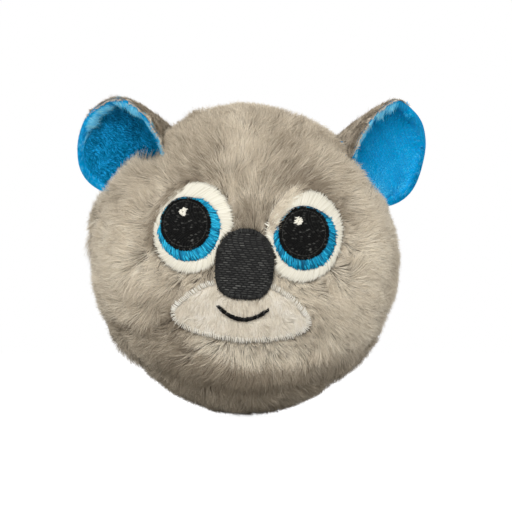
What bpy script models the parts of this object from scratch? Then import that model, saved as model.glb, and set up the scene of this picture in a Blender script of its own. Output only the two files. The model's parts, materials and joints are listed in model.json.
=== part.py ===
"""Plush koala head: a palm-sized stuffed ball with an embroidered face and two cupped ears.

Metres, +Z up. The face looks towards -Y, and +X is to the right as seen from the front.
The origin is the centre of the flat foot under the ball. "Left" is the left of the front view.
"""

import math

import bmesh
import bpy
import numpy as np

# The stuffed ball, measured over the tips of its pile
BALL_HALF_WIDTH = 0.0499
BALL_HALF_DEPTH = 0.0470
BALL_HALF_HEIGHT = 0.0505
FOOT_CUT_DEPTH = 0.0012

# Plush cloth: backing and pile together, and the gaps that keep the pieces apart
PANEL_THICKNESS = 0.0070
SEAM_GAP = 0.0003
CORE_CLEARANCE = 0.0007

# Seam grooves between the four panels
SEAM_GROOVE_DEPTH = 0.0013
SEAM_GROOVE_HALF_WIDTH = 0.0032

# Where the seams run, as azimuth from the front (towards +X) and elevation, in degrees
CROWN_AIM = (180, 86)
SIDE_SEAM_AIMS_LEFT = ((-100, 62), (-97, 25), (-95, -5))
SIDE_SEAM_AIMS_RIGHT = ((100, 62), (97, 25), (95, -10))
JUNCTION_AIM_LEFT = (-92, -34)
JUNCTION_AIM_RIGHT = (92, -40)
CHIN_SEAM_AIMS = ((-48, -46), (3, -54), (50, -49))
HEEL_AIM = (180, -52)
HEEL_SEAM_AIM_LEFT = (-138, -50)
HEEL_SEAM_AIM_RIGHT = (138, -52)
BACK_SEAM_AIMS = ((180, 45), (180, 0), (180, -30))

# Swellings and flats of the stuffing: (azimuth, elevation), height, spread in degrees
CROWN_SWELL = ((0, 84), 0.0010, 26)
FOREHEAD_SWELL = ((0, 38), 0.0012, 26)
CHEEK_SWELL_LEFT = ((-52, -16), 0.0016, 22)
CHEEK_SWELL_RIGHT = ((52, -18), 0.0014, 22)
CHIN_SWELL = ((-4, -38), 0.0018, 17)
CORNER_SWELL_LEFT = ((-86, -31), 0.0012, 11)
CORNER_SWELL_RIGHT = ((86, -39), 0.0020, 9)
LOWER_FLAT_LEFT = ((-90, -52), -0.0024, 26)
LOWER_FLAT_RIGHT = ((90, -58), -0.0016, 22)
NAPE_SWELL = ((180, 8), 0.0012, 38)
SWELLS = (
    CROWN_SWELL,
    FOREHEAD_SWELL,
    CHEEK_SWELL_LEFT,
    CHEEK_SWELL_RIGHT,
    CHIN_SWELL,
    CORNER_SWELL_LEFT,
    CORNER_SWELL_RIGHT,
    LOWER_FLAT_LEFT,
    LOWER_FLAT_RIGHT,
    NAPE_SWELL,
)

# The face's own frame: its middle is the nose's, seen from the front
FACE_DROP = 0.0006
FACE_ROLL_DEGREES = 4.4

# Eyes: pupil, iris and white, each an oval; shifts are from the pupil's middle
EYE_SPACING = 0.0374
EYE_PAIR_SHIFT = -0.0009
EYE_RISE = 0.0111
PUPIL_HALF_WIDTH = 0.0081
PUPIL_HALF_HEIGHT = 0.0085
IRIS_HALF_WIDTH = 0.0097
IRIS_HALF_HEIGHT = 0.0099
IRIS_SHIFT_LEFT = 0.0014
IRIS_SHIFT_RIGHT = 0.0008
IRIS_DROP = 0.0014
IRIS_LEAST_BORDER_SHARE = 0.1
WHITE_HALF_WIDTH = 0.0124
WHITE_HALF_HEIGHT = 0.0148
WHITE_SHIFT_LEFT = 0.0023
WHITE_SHIFT_RIGHT = 0.0003
WHITE_DROP = 0.0009
WHITE_TILT_DEGREES = 14
GLINT_HALF_SIZE = 0.0015
GLINT_SHIFT = -0.0014
GLINT_RISE = 0.0037

# Nose: an oval with a squarer foot
NOSE_HALF_WIDTH = 0.0094
NOSE_HALF_HEIGHT = 0.0113
NOSE_TOP_ROUNDNESS = 2.1
NOSE_FOOT_ROUNDNESS = 2.9

# Muzzle patch: half of its outline, upper edge then lower edge, as shares of its half sizes
MUZZLE_HALF_WIDTH = 0.0222
MUZZLE_HALF_HEIGHT = 0.0100
MUZZLE_DROP = 0.0151
MUZZLE_UPPER_SHARES = ((0, 1.02), (0.22, 1.0), (0.43, 0.93), (0.66, 0.68), (0.84, 0.36), (0.97, 0.06))
MUZZLE_TIP_SHARES = (1.0, -0.16)
MUZZLE_LOWER_SHARES = ((0.95, -0.46), (0.75, -0.72), (0.48, -0.86), (0.22, -0.95), (0, -0.98))
EDGE_STITCH_WIDTH = 0.0016

# Mouth: a shallow arc of satin stitch
MOUTH_HALF_WIDTH = 0.0084
MOUTH_SAG = 0.0037
MOUTH_DROP = 0.0140
MOUTH_STROKE = 0.0011

# Embroidery sits in a shallow hollow of the pile
HOLLOW_DEPTH = 0.0030
HOLLOW_MARGIN = 0.0026
HOLLOW_SLOPE_WIDTH = 0.0070
SEAT_GAP = 0.0003
STITCH_THICKNESS = 0.0012
PUPIL_THICKNESS = 0.0013
PATCH_THICKNESS = 0.0013
NOSE_THICKNESS = 0.0021
GLINT_THICKNESS = 0.0005
MOUTH_THICKNESS = 0.0007

# Ears: where each root lies on the ball, where its cup faces, how far the cup stands out,
# and how far the side nearer the crown folds forwards
EAR_ROOT_AIM_LEFT = (-93, 41)
EAR_FACING_AIM_LEFT = (-10, -8)
EAR_RIM_RISE_LEFT = 0.0044
EAR_FOLD_LEFT = 0.0110
EAR_ROOT_AIM_RIGHT = (92, 36)
EAR_FACING_AIM_RIGHT = (33, -6)
EAR_RIM_RISE_RIGHT = 0.0076
EAR_FOLD_RIGHT = 0.0035

# An ear's cup, in its own frame: along the base, out from the ball, and forwards
EAR_HALF_WIDTH = 0.0141
EAR_HALF_HEIGHT = 0.0148
EAR_RIM_SHIFT = 0.0004
EAR_RIM_FORWARD = 0.0030
EAR_RIM_CURL = 0.0055
EAR_FOCUS_FORWARD = 0.0050
EAR_BELLY_HALF_WIDTH = 0.0160
EAR_BELLY_CURL = 0.0030
EAR_BELLY_HALF_HEIGHT = 0.0172
EAR_BELLY_BACK = 0.0062
EAR_ROOT_HALF_WIDTH = 0.0135
EAR_ROOT_BACK = 0.0058
EAR_ROOT_FORWARD = 0.0010
EAR_ROOT_DEPTH = 0.0090
EAR_ROOT_SHIFT = 0.0040
EAR_FOLD_POWER = 1.5
EAR_BELLY_FOLD_SHARE = 0.5
EAR_ROOT_FOLD_SHARE = 0.3
EAR_RIM_SEARCH_DEGREES = (-60, 240)
EAR_CORNER_HEIGHT = 0.0010
EAR_BACK_THICKNESS = 0.0010
EAR_LINING_THICKNESS = 0.0015
EAR_LAYER_GAP = 0.0003
EAR_HINGE_TURNS_DEGREES = (0, 205)
EAR_FLEX_DEGREES = 8
FLEX_TEST_SHARES = (-1, -0.5, 0, 0.5, 1)

# Facets and sampling
FACE_LEAST_DEPTH_SHARE = 0.2
FACE_RINGS = 20
PANEL_RINGS = 9
INNER_RINGS = 9
SIDE_SEAM_COLUMNS = 17
CHIN_SEAM_COLUMNS = 20
HEEL_SEAM_COLUMNS = 9
BACK_SEAM_COLUMNS = 12
CORE_RINGS = 12
CORE_COLUMNS = 24
FOOT_RINGS = 2
EAR_RIBS = 22
EAR_ROWS = 7
EAR_RIB_SAMPLES = 90
OVAL_COLUMNS = 32
GLINT_COLUMNS = 10
PUPIL_RINGS = 3
WHITE_RINGS = 2
PATCH_RINGS = 4
NOSE_RINGS = 4
MOUTH_COLUMNS = 16
PATH_SAMPLES = 6
DRAPE_ROUNDS = 12
TRIM_TRIES = 400
SHARP_ANGLE_DEGREES = 40

BALL_CENTRE = np.array([0.0, 0.0, BALL_HALF_HEIGHT - FOOT_CUT_DEPTH])
BALL_HALF_SIZES = np.array([BALL_HALF_WIDTH, BALL_HALF_DEPTH, BALL_HALF_HEIGHT])
FOOT_RADIUS = BALL_HALF_WIDTH * math.sqrt(1 - (BALL_CENTRE[2] / BALL_HALF_HEIGHT) ** 2)


def unit(vectors):
    """The vectors made one long."""
    return vectors / np.linalg.norm(vectors, axis=-1, keepdims=True)


def aim(angles):
    """The direction at an azimuth from the front and an elevation, in degrees."""
    azimuth, elevation = np.radians(angles)
    return np.array([
        math.sin(azimuth) * math.cos(elevation),
        -math.cos(azimuth) * math.cos(elevation),
        math.sin(elevation),
    ])


def smooth_path(points, count):
    """Points evenly spaced by parameter on a Catmull-Rom curve through the given ones."""
    points = np.array(points, float)
    ends = 2 * points[[0, -1]] - points[[1, -2]]
    held = np.vstack([ends[:1], points, ends[1:]])
    places = np.linspace(0, len(points) - 1, count)
    span = np.minimum(places.astype(int), len(points) - 2)
    t = (places - span)[:, None]
    a, b, c, d = (held[span + k] for k in range(4))
    return 0.5 * (2 * b + (c - a) * t + (2 * a - 5 * b + 4 * c - d) * t**2 + (3 * b - a - 3 * c + d) * t**3)


def seam(aims, columns):
    """A seam as directions from the ball's centre."""
    return unit(smooth_path([aim(angles) for angles in aims], columns + 1))


SIDE_SEAM_LEFT = seam((CROWN_AIM, *SIDE_SEAM_AIMS_LEFT, JUNCTION_AIM_LEFT), SIDE_SEAM_COLUMNS)
SIDE_SEAM_RIGHT = seam((CROWN_AIM, *SIDE_SEAM_AIMS_RIGHT, JUNCTION_AIM_RIGHT), SIDE_SEAM_COLUMNS)
CHIN_SEAM = seam((JUNCTION_AIM_LEFT, *CHIN_SEAM_AIMS, JUNCTION_AIM_RIGHT), CHIN_SEAM_COLUMNS)
HEEL_SEAM_LEFT = seam((JUNCTION_AIM_LEFT, HEEL_SEAM_AIM_LEFT, HEEL_AIM), HEEL_SEAM_COLUMNS)
HEEL_SEAM_RIGHT = seam((JUNCTION_AIM_RIGHT, HEEL_SEAM_AIM_RIGHT, HEEL_AIM), HEEL_SEAM_COLUMNS)
BACK_SEAM = seam((CROWN_AIM, *BACK_SEAM_AIMS, HEEL_AIM), BACK_SEAM_COLUMNS)
ALL_SEAMS = (SIDE_SEAM_LEFT, SIDE_SEAM_RIGHT, CHIN_SEAM, HEEL_SEAM_LEFT, HEEL_SEAM_RIGHT, BACK_SEAM)


def seam_samples():
    """Directions close together along every seam."""
    dense = [unit(smooth_path(path, PATH_SAMPLES * len(path))) for path in ALL_SEAMS]
    return np.vstack(dense)


SEAM_SAMPLES = seam_samples()


def swollen_radius(directions):
    """The stuffed ball's radius, before its seams draw it in."""
    radius = 1 / np.sqrt(((directions / BALL_HALF_SIZES) ** 2).sum(-1))
    for angles, height, spread in SWELLS:
        away = np.degrees(np.arccos(np.clip(directions @ aim(angles), -1, 1)))
        radius = radius + height * np.exp(-((away / spread) ** 2))
    return radius


def pile_radius(directions):
    """The radius over the pile's tips, with seam grooves and the flat foot."""
    radius = swollen_radius(directions)
    nearest = np.arccos(np.clip((directions @ SEAM_SAMPLES.T).max(-1), -1, 1)) * radius
    radius = radius - SEAM_GROOVE_DEPTH * np.exp(-((nearest / SEAM_GROOVE_HALF_WIDTH) ** 2))
    floor = BALL_CENTRE[2] / np.maximum(-directions[..., 2], 1e-6)
    return np.minimum(radius, floor)


def on_ball(directions, radius):
    """Points at these directions and radii from the ball's centre."""
    return BALL_CENTRE + directions * radius[..., None]


def face_to_front(points):
    """Face-frame (across, up) places as front-view (x, z)."""
    roll = math.radians(FACE_ROLL_DEGREES)
    across, up = points[..., 0], points[..., 1]
    x = across * math.cos(roll) + up * math.sin(roll)
    z = up * math.cos(roll) - across * math.sin(roll) + BALL_CENTRE[2] - FACE_DROP
    return np.stack([x, z], -1)


def front_to_face(x, z):
    """Front-view places as face-frame (across, up)."""
    roll = math.radians(FACE_ROLL_DEGREES)
    up = z - BALL_CENTRE[2] + FACE_DROP
    return np.stack([x * math.cos(roll) - up * math.sin(roll), x * math.sin(roll) + up * math.cos(roll)], -1)


def oval(half_width, half_height, columns, upper_power=2.0, lower_power=2.0):
    """A closed oval, anticlockwise from its right end; a power over 2 squares its shoulders."""
    turn = np.arange(columns) * 2 * math.pi / columns
    power = np.where(np.sin(turn) < 0, lower_power, upper_power)
    across = half_width * np.sign(np.cos(turn)) * np.abs(np.cos(turn)) ** (2 / power)
    up = half_height * np.sign(np.sin(turn)) * np.abs(np.sin(turn)) ** (2 / power)
    return np.stack([across, up], -1)


def turned(points, degrees):
    """Flat points turned anticlockwise about their origin."""
    angle = math.radians(degrees)
    across, up = points[..., 0], points[..., 1]
    return np.stack([
        across * math.cos(angle) - up * math.sin(angle),
        across * math.sin(angle) + up * math.cos(angle),
    ], -1)


def resampled(outline, count):
    """A closed outline's points spaced evenly along it."""
    closed = np.vstack([outline, outline[:1]])
    along = np.concatenate([[0], np.cumsum(np.linalg.norm(np.diff(closed, axis=0), axis=1))])
    places = np.arange(count) * along[-1] / count
    return np.stack([np.interp(places, along, closed[:, k]) for k in range(2)], -1)


def pulled_in(outline, distance):
    """An anticlockwise closed outline moved inwards, or outwards for a negative distance."""
    along = unit(np.roll(outline, -1, axis=0) - np.roll(outline, 1, axis=0))
    inward = np.stack([-along[:, 1], along[:, 0]], -1)
    return outline + inward * distance


class Eye:
    """The outlines of one eye in the face's frame."""

    def __init__(self, side, iris_shift, white_shift, white_tilt):
        self.middle = np.array([EYE_PAIR_SHIFT + side * EYE_SPACING / 2, EYE_RISE])
        self.pupil = self.middle + oval(PUPIL_HALF_WIDTH, PUPIL_HALF_HEIGHT, OVAL_COLUMNS)
        self.iris_middle = self.middle + np.array([iris_shift, -IRIS_DROP])
        self.iris = self.iris_middle + oval(IRIS_HALF_WIDTH, IRIS_HALF_HEIGHT, OVAL_COLUMNS)
        egg = turned(oval(WHITE_HALF_WIDTH, WHITE_HALF_HEIGHT, OVAL_COLUMNS), white_tilt)
        self.white = self.middle + np.array([white_shift, -WHITE_DROP]) + egg
        self.glint_middle = self.middle + np.array([GLINT_SHIFT, GLINT_RISE])


LEFT_EYE = Eye(-1, IRIS_SHIFT_LEFT, WHITE_SHIFT_LEFT, -WHITE_TILT_DEGREES)
RIGHT_EYE = Eye(1, IRIS_SHIFT_RIGHT, WHITE_SHIFT_RIGHT, -WHITE_TILT_DEGREES / 2)
NOSE_OUTLINE = oval(
    NOSE_HALF_WIDTH, NOSE_HALF_HEIGHT, 2 * OVAL_COLUMNS, NOSE_TOP_ROUNDNESS, NOSE_FOOT_ROUNDNESS
)


def muzzle_outline(count):
    """The muzzle's closed outline over its edge stitching, anticlockwise from the top middle."""
    right = (*MUZZLE_UPPER_SHARES, MUZZLE_TIP_SHARES, *MUZZLE_LOWER_SHARES)
    left = tuple((-across, up) for across, up in right[-2:0:-1])
    sizes = np.array([MUZZLE_HALF_WIDTH, MUZZLE_HALF_HEIGHT])
    ring = np.array(right + left + right[:1]) * sizes - np.array([0, MUZZLE_DROP])
    return resampled(smooth_path(ring, PATH_SAMPLES * len(ring))[:-1], count)[::-1]


MUZZLE_OUTLINE = muzzle_outline(4 * OVAL_COLUMNS)


def outline_distance(points, outline):
    """How far flat points lie outside a closed outline; zero inside it."""
    start, run = outline, np.roll(outline, -1, axis=0) - outline
    offset = points[:, None, :] - start[None]
    share = np.clip((offset * run).sum(-1) / (run * run).sum(-1), 0, 1)
    distance = np.linalg.norm(offset - share[..., None] * run, axis=-1).min(-1)
    beyond = (start[None, :, 1] > points[:, None, 1]) != (np.roll(start, -1, axis=0)[None, :, 1] > points[:, None, 1])
    rise = np.where(run[:, 1] == 0, 1, run[:, 1])
    crossing = start[:, 0] + (points[:, None, 1] - start[:, 1]) / rise * run[:, 0]
    inside = (beyond & (points[:, None, 0] < crossing)).sum(-1) % 2 == 1
    return np.where(inside, 0, distance)


def face_radius(directions):
    """The pile's radius with the hollow that the embroidery lies in."""
    radius = pile_radius(directions)
    places = on_ball(directions, radius)
    flat = front_to_face(places[..., 0], places[..., 2]).reshape(-1, 2)
    outlines = (LEFT_EYE.white, RIGHT_EYE.white, NOSE_OUTLINE, MUZZLE_OUTLINE)
    away = np.min([outline_distance(flat, outline) for outline in outlines], axis=0)
    share = np.clip((away - HOLLOW_MARGIN) / HOLLOW_SLOPE_WIDTH, 0, 1).reshape(radius.shape)
    share = np.where(directions[..., 1] < 0, share, 1)
    return radius - HOLLOW_DEPTH * (1 - share * share * (3 - 2 * share))


def draped(points, lift):
    """Points laid on the face this far above the hollow's floor, as the stitches' tops show them."""
    front = face_to_front(points)
    x, z = front[..., 0], front[..., 1] - BALL_CENTRE[2]
    y = np.full_like(x, -BALL_HALF_DEPTH)
    for _ in range(DRAPE_ROUNDS):
        reach = np.sqrt(x * x + y * y + z * z)
        directions = np.stack([x, y, z], -1) / reach[..., None]
        floor = pile_radius(directions) - HOLLOW_DEPTH
        short = floor + SEAT_GAP + STITCH_THICKNESS - reach
        y = np.minimum(y + short / directions[..., 1], -FACE_LEAST_DEPTH_SHARE * BALL_HALF_DEPTH)
    return on_ball(directions, floor + lift)


class Shell:
    """A closed solid between an outer and an inner sheet of points."""

    def __init__(self, name, finish):
        self.name = name
        self.finish = finish
        self.bm = bmesh.new()

    def sheet(self, points, pole, closed):
        """Adds a grid of points, rows first, and returns its rows of vertices."""
        rows = [[self.bm.verts.new(point) for point in row] for row in points[1 if pole else 0:]]
        if pole:
            tip = self.bm.verts.new(points[0][0])
            for a, b in self.pairs(rows[0], closed):
                self.bm.faces.new((tip, a, b))
        for lower, upper in zip(rows, rows[1:]):
            for (a, b), (c, d) in zip(self.pairs(lower, closed), self.pairs(upper, closed)):
                self.bm.faces.new((a, b, d, c))
        return rows

    def pairs(self, row, closed):
        """Neighbouring vertices of a row, round to the first again when it is closed."""
        return list(zip(row, row[1:] + row[:1])) if closed else list(zip(row, row[1:]))

    def wall(self, outer, inner, closed):
        """Joins an edge of the outer sheet to the same edge of the inner one."""
        for (a, b), (c, d) in zip(self.pairs(outer, closed), self.pairs(inner, closed)):
            self.bm.faces.new((a, b, d, c))

    def build(self, outer, inner, pole=False, closed=True):
        """Makes the object from both sheets and the walls round their edges."""
        front = self.sheet(outer, pole, closed)
        back = self.sheet(inner, pole, closed)
        self.wall(front[-1], back[-1], closed)
        if not pole:
            self.wall(front[0], back[0], closed)
        if not closed:
            self.wall([row[0] for row in front], [row[0] for row in back], False)
            self.wall([row[-1] for row in front], [row[-1] for row in back], False)
        return self.finished()

    def finished(self):
        """Turns the faces outwards and makes the object, smooth but for its edges."""
        bmesh.ops.recalc_face_normals(self.bm, faces=self.bm.faces)
        mesh = bpy.data.meshes.new(self.name)
        self.bm.to_mesh(mesh)
        self.bm.free()
        mesh.shade_smooth()
        mesh.set_sharp_from_angle(angle=math.radians(SHARP_ANGLE_DEGREES))
        mesh.materials.append(self.finish)
        result = bpy.data.objects.new(self.name, mesh)
        bpy.context.scene.collection.objects.link(result)
        return result


def finish(name, colour, roughness):
    """A Principled material of one colour."""
    material = bpy.data.materials.new(name)
    material.use_nodes = True
    shader = material.node_tree.nodes["Principled BSDF"]
    shader.inputs["Base Color"].default_value = (*colour, 1)
    shader.inputs["Roughness"].default_value = roughness
    shader.inputs["Metallic"].default_value = 0
    material.diffuse_color = (*colour, 1)
    return material


def between(start, end, share):
    """Directions part of the way along the great arcs from start to end."""
    angle = np.arccos(np.clip((start * end).sum(-1, keepdims=True), -1, 1))
    weights = np.sin((1 - share) * angle), np.sin(share * angle)
    return unit(weights[0] * start + weights[1] * end)


def drawn_back(loop, centre, distance):
    """A closed loop of directions moved square to itself, towards the centre direction."""
    along = np.roll(loop, -1, axis=0) - np.roll(loop, 1, axis=0)
    inward = unit(np.cross(loop, along))
    facing = np.sign((inward * (centre - loop)).sum(-1, keepdims=True))
    return unit(loop + inward * facing * distance / BALL_HALF_WIDTH)


def ring_directions(loops, steps):
    """Rings of directions from the first loop to the last, each span cut into its steps."""
    rings = [loops[0]]
    for start, end, count in zip(loops, loops[1:], steps):
        rings += [between(start, end, (k + 1) / count) for k in range(count)]
    return np.array(rings)


def plush_panel(name, material, centre, loop, rings, outer_radius, first_loop=None, first_rings=0):
    """One cut piece of plush: its pile's surface outside, its backing's inside."""
    loop = drawn_back(loop, centre, SEAM_GAP / 2)
    middle = np.repeat(centre[None], len(loop), axis=0)
    if first_loop is None:
        outer = ring_directions([middle, loop], [rings])
    else:
        outer = ring_directions([middle, first_loop, loop], [first_rings, rings])
    inner = ring_directions([middle, loop], [INNER_RINGS])
    return Shell(name, material).build(
        on_ball(outer, outer_radius(outer)),
        on_ball(inner, swollen_radius(inner) - PANEL_THICKNESS),
        pole=True,
    )


def joined_loop(*paths):
    """One closed loop from paths that meet end to end."""
    return np.vstack([path[:-1] for path in paths])


def foot_loop(loop):
    """The foot's round edge, one direction under each of a loop's own."""
    flat = unit(loop[:, :2])
    edge = np.column_stack([flat * FOOT_RADIUS, np.full(len(loop), -BALL_CENTRE[2])])
    return unit(edge)


def build_ball(fur, backing):
    """The fibre core and the four panels sewn round it."""
    turn = np.arange(CORE_COLUMNS) * 2 * math.pi / CORE_COLUMNS
    rise = np.linspace(-math.pi / 2, math.pi / 2, CORE_RINGS + 1)[1:-1]
    grid = np.array([[(math.cos(e) * math.cos(a), math.cos(e) * math.sin(a), math.sin(e)) for a in turn] for e in rise])
    core = Shell("stuffing_core", backing)
    rows = core.sheet(on_ball(grid, swollen_radius(grid) - PANEL_THICKNESS - CORE_CLEARANCE), False, True)
    for row, pole in ((rows[0], -1), (rows[-1], 1)):
        tip = np.array([0.0, 0.0, pole])
        end = core.bm.verts.new(on_ball(tip, swollen_radius(tip) - PANEL_THICKNESS - CORE_CLEARANCE))
        for a, b in core.pairs(row, True):
            core.bm.faces.new((end, a, b))
    core.finished()

    face = joined_loop(SIDE_SEAM_LEFT, CHIN_SEAM, SIDE_SEAM_RIGHT[::-1])
    plush_panel("face_panel", fur, aim((0, 4)), face, FACE_RINGS, face_radius)
    under = joined_loop(CHIN_SEAM, HEEL_SEAM_RIGHT, HEEL_SEAM_LEFT[::-1])
    plush_panel(
        "under_panel", fur, aim((0, -90)), under, PANEL_RINGS, pile_radius, foot_loop(under), FOOT_RINGS
    )
    left = joined_loop(SIDE_SEAM_LEFT, HEEL_SEAM_LEFT, BACK_SEAM[::-1])
    plush_panel("back_panel_left", fur, aim((-138, 5)), left, PANEL_RINGS, pile_radius)
    right = joined_loop(SIDE_SEAM_RIGHT, HEEL_SEAM_RIGHT, BACK_SEAM[::-1])
    plush_panel("back_panel_right", fur, aim((138, 5)), right, PANEL_RINGS, pile_radius)


def held_off(outline, middle, keep_out):
    """An outline drawn in towards its middle where it would reach into another one."""
    shares = np.linspace(1, 0, TRIM_TRIES)[:, None, None]
    tries = middle + (outline - middle) * shares
    free = outline_distance(tries.reshape(-1, 2), keep_out).reshape(tries.shape[:2]) > 0
    return tries[free.argmax(0), np.arange(len(outline))]


def rings_between(inner, outer, steps):
    """Rings of flat points from an inner outline, or a middle point, to an outer one."""
    return np.array([inner + (outer - inner) * k / steps for k in range(steps + 1)])


def stitched(name, material, rows, thickness, pole=False, closed=True, lift=SEAT_GAP):
    """A draped piece of embroidery or cloth that lies on the face."""
    return Shell(name, material).build(
        draped(rows, lift + thickness), draped(rows, lift), pole=pole, closed=closed
    )


def build_eye(side_name, eye, materials):
    """White, iris, pupil and glint, each its own stitched area beside the next."""
    half_gap = SEAT_GAP / 2
    middle = np.repeat(eye.middle[None], OVAL_COLUMNS, axis=0)
    pupil = pulled_in(eye.pupil, half_gap)
    stitched(f"{side_name}_eye_pupil", materials["black"], rings_between(middle, pupil, PUPIL_RINGS), PUPIL_THICKNESS, True)
    inner, outer = pulled_in(eye.pupil, -half_gap), pulled_in(eye.iris, half_gap)
    least = eye.middle + (eye.pupil - eye.middle) * (1 + IRIS_LEAST_BORDER_SHARE)
    shorter = np.linalg.norm(outer - eye.middle, axis=1) < np.linalg.norm(least - eye.middle, axis=1)
    outer = np.where(shorter[:, None], least, outer)
    stitched(f"{side_name}_eye_iris", materials["blue"], rings_between(inner, outer, 1), STITCH_THICKNESS)
    inner = eye.middle + (outer - eye.middle) * (1 + SEAT_GAP / PUPIL_HALF_WIDTH)
    white = held_off(eye.white, eye.middle, pulled_in(NOSE_OUTLINE, -SEAT_GAP))
    stitched(f"{side_name}_eye_white", materials["white"], rings_between(inner, white, WHITE_RINGS), STITCH_THICKNESS)
    glint = eye.glint_middle + oval(GLINT_HALF_SIZE, GLINT_HALF_SIZE, GLINT_COLUMNS)
    middle = np.repeat(eye.glint_middle[None], GLINT_COLUMNS, axis=0)
    lift = SEAT_GAP + PUPIL_THICKNESS + SEAT_GAP
    stitched(
        f"{side_name}_eye_glint", materials["white"], rings_between(middle, glint, 1), GLINT_THICKNESS, True, lift=lift
    )


def muzzle_columns():
    """The patch as matching points of its upper and lower edges, left to right, under the nose."""
    inside = pulled_in(MUZZLE_OUTLINE, EDGE_STITCH_WIDTH + SEAT_GAP)
    left, right = inside[:, 0].argmin(), inside[:, 0].argmax()
    ring = np.roll(inside, -left, axis=0)
    turn = (right - left) % len(inside)
    lower, upper = ring[: turn + 1], np.vstack([ring[turn:], ring[:1]])[::-1]
    foot = pulled_in(NOSE_OUTLINE, -SEAT_GAP)
    foot = foot[len(foot) // 2:]
    foot = foot[np.argsort(foot[:, 0])]
    foot = foot[foot[:, 1] < np.interp(foot[:, 0], upper[:, 0], upper[:, 1])]
    sides = upper[(upper[:, 0] < foot[0, 0]) | (upper[:, 0] > foot[-1, 0])][1:-1:3]
    top = np.vstack([sides, foot])
    top = top[np.argsort(top[:, 0])]
    bottom = np.stack([top[:, 0], np.interp(top[:, 0], lower[:, 0], lower[:, 1])], -1)
    return top, bottom


def build_muzzle(materials):
    """The muzzle patch, the stitching round its edge, the nose and the mouth."""
    top, bottom = muzzle_columns()
    stitched(
        "muzzle_patch", materials["cream"], rings_between(bottom, top, PATCH_RINGS), PATCH_THICKNESS, closed=False
    )
    nose_clear = pulled_in(NOSE_OUTLINE, -SEAT_GAP)
    edge = MUZZLE_OUTLINE[outline_distance(MUZZLE_OUTLINE, nose_clear) > EDGE_STITCH_WIDTH]
    gaps = np.linalg.norm(edge - np.roll(edge, 1, axis=0), axis=1)
    edge = np.roll(edge, -gaps.argmax(), axis=0)
    along = unit(np.gradient(edge, axis=0))
    inner = edge + np.stack([-along[:, 1], along[:, 0]], -1) * EDGE_STITCH_WIDTH
    stitched(
        "muzzle_edge_stitching",
        materials["cream"],
        rings_between(inner, edge, 1)[:, ::2],
        STITCH_THICKNESS,
        closed=False,
    )
    middle = np.zeros((len(NOSE_OUTLINE[::2]), 2))
    stitched("nose", materials["black"], rings_between(middle, NOSE_OUTLINE[::2], NOSE_RINGS), NOSE_THICKNESS, True)
    share = np.linspace(-1, 1, MOUTH_COLUMNS + 1)
    arc = np.stack([share * MOUTH_HALF_WIDTH, -MOUTH_DROP - MOUTH_SAG * (1 - share**2)], -1)
    along = unit(np.gradient(arc, axis=0))
    side = np.stack([-along[:, 1], along[:, 0]], -1) * MOUTH_STROKE / 2
    lift = SEAT_GAP + PATCH_THICKNESS + SEAT_GAP
    stitched(
        "mouth_stitching",
        materials["black"],
        np.array([arc - side, arc, arc + side]),
        MOUTH_THICKNESS,
        closed=False,
        lift=lift,
    )


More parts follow.
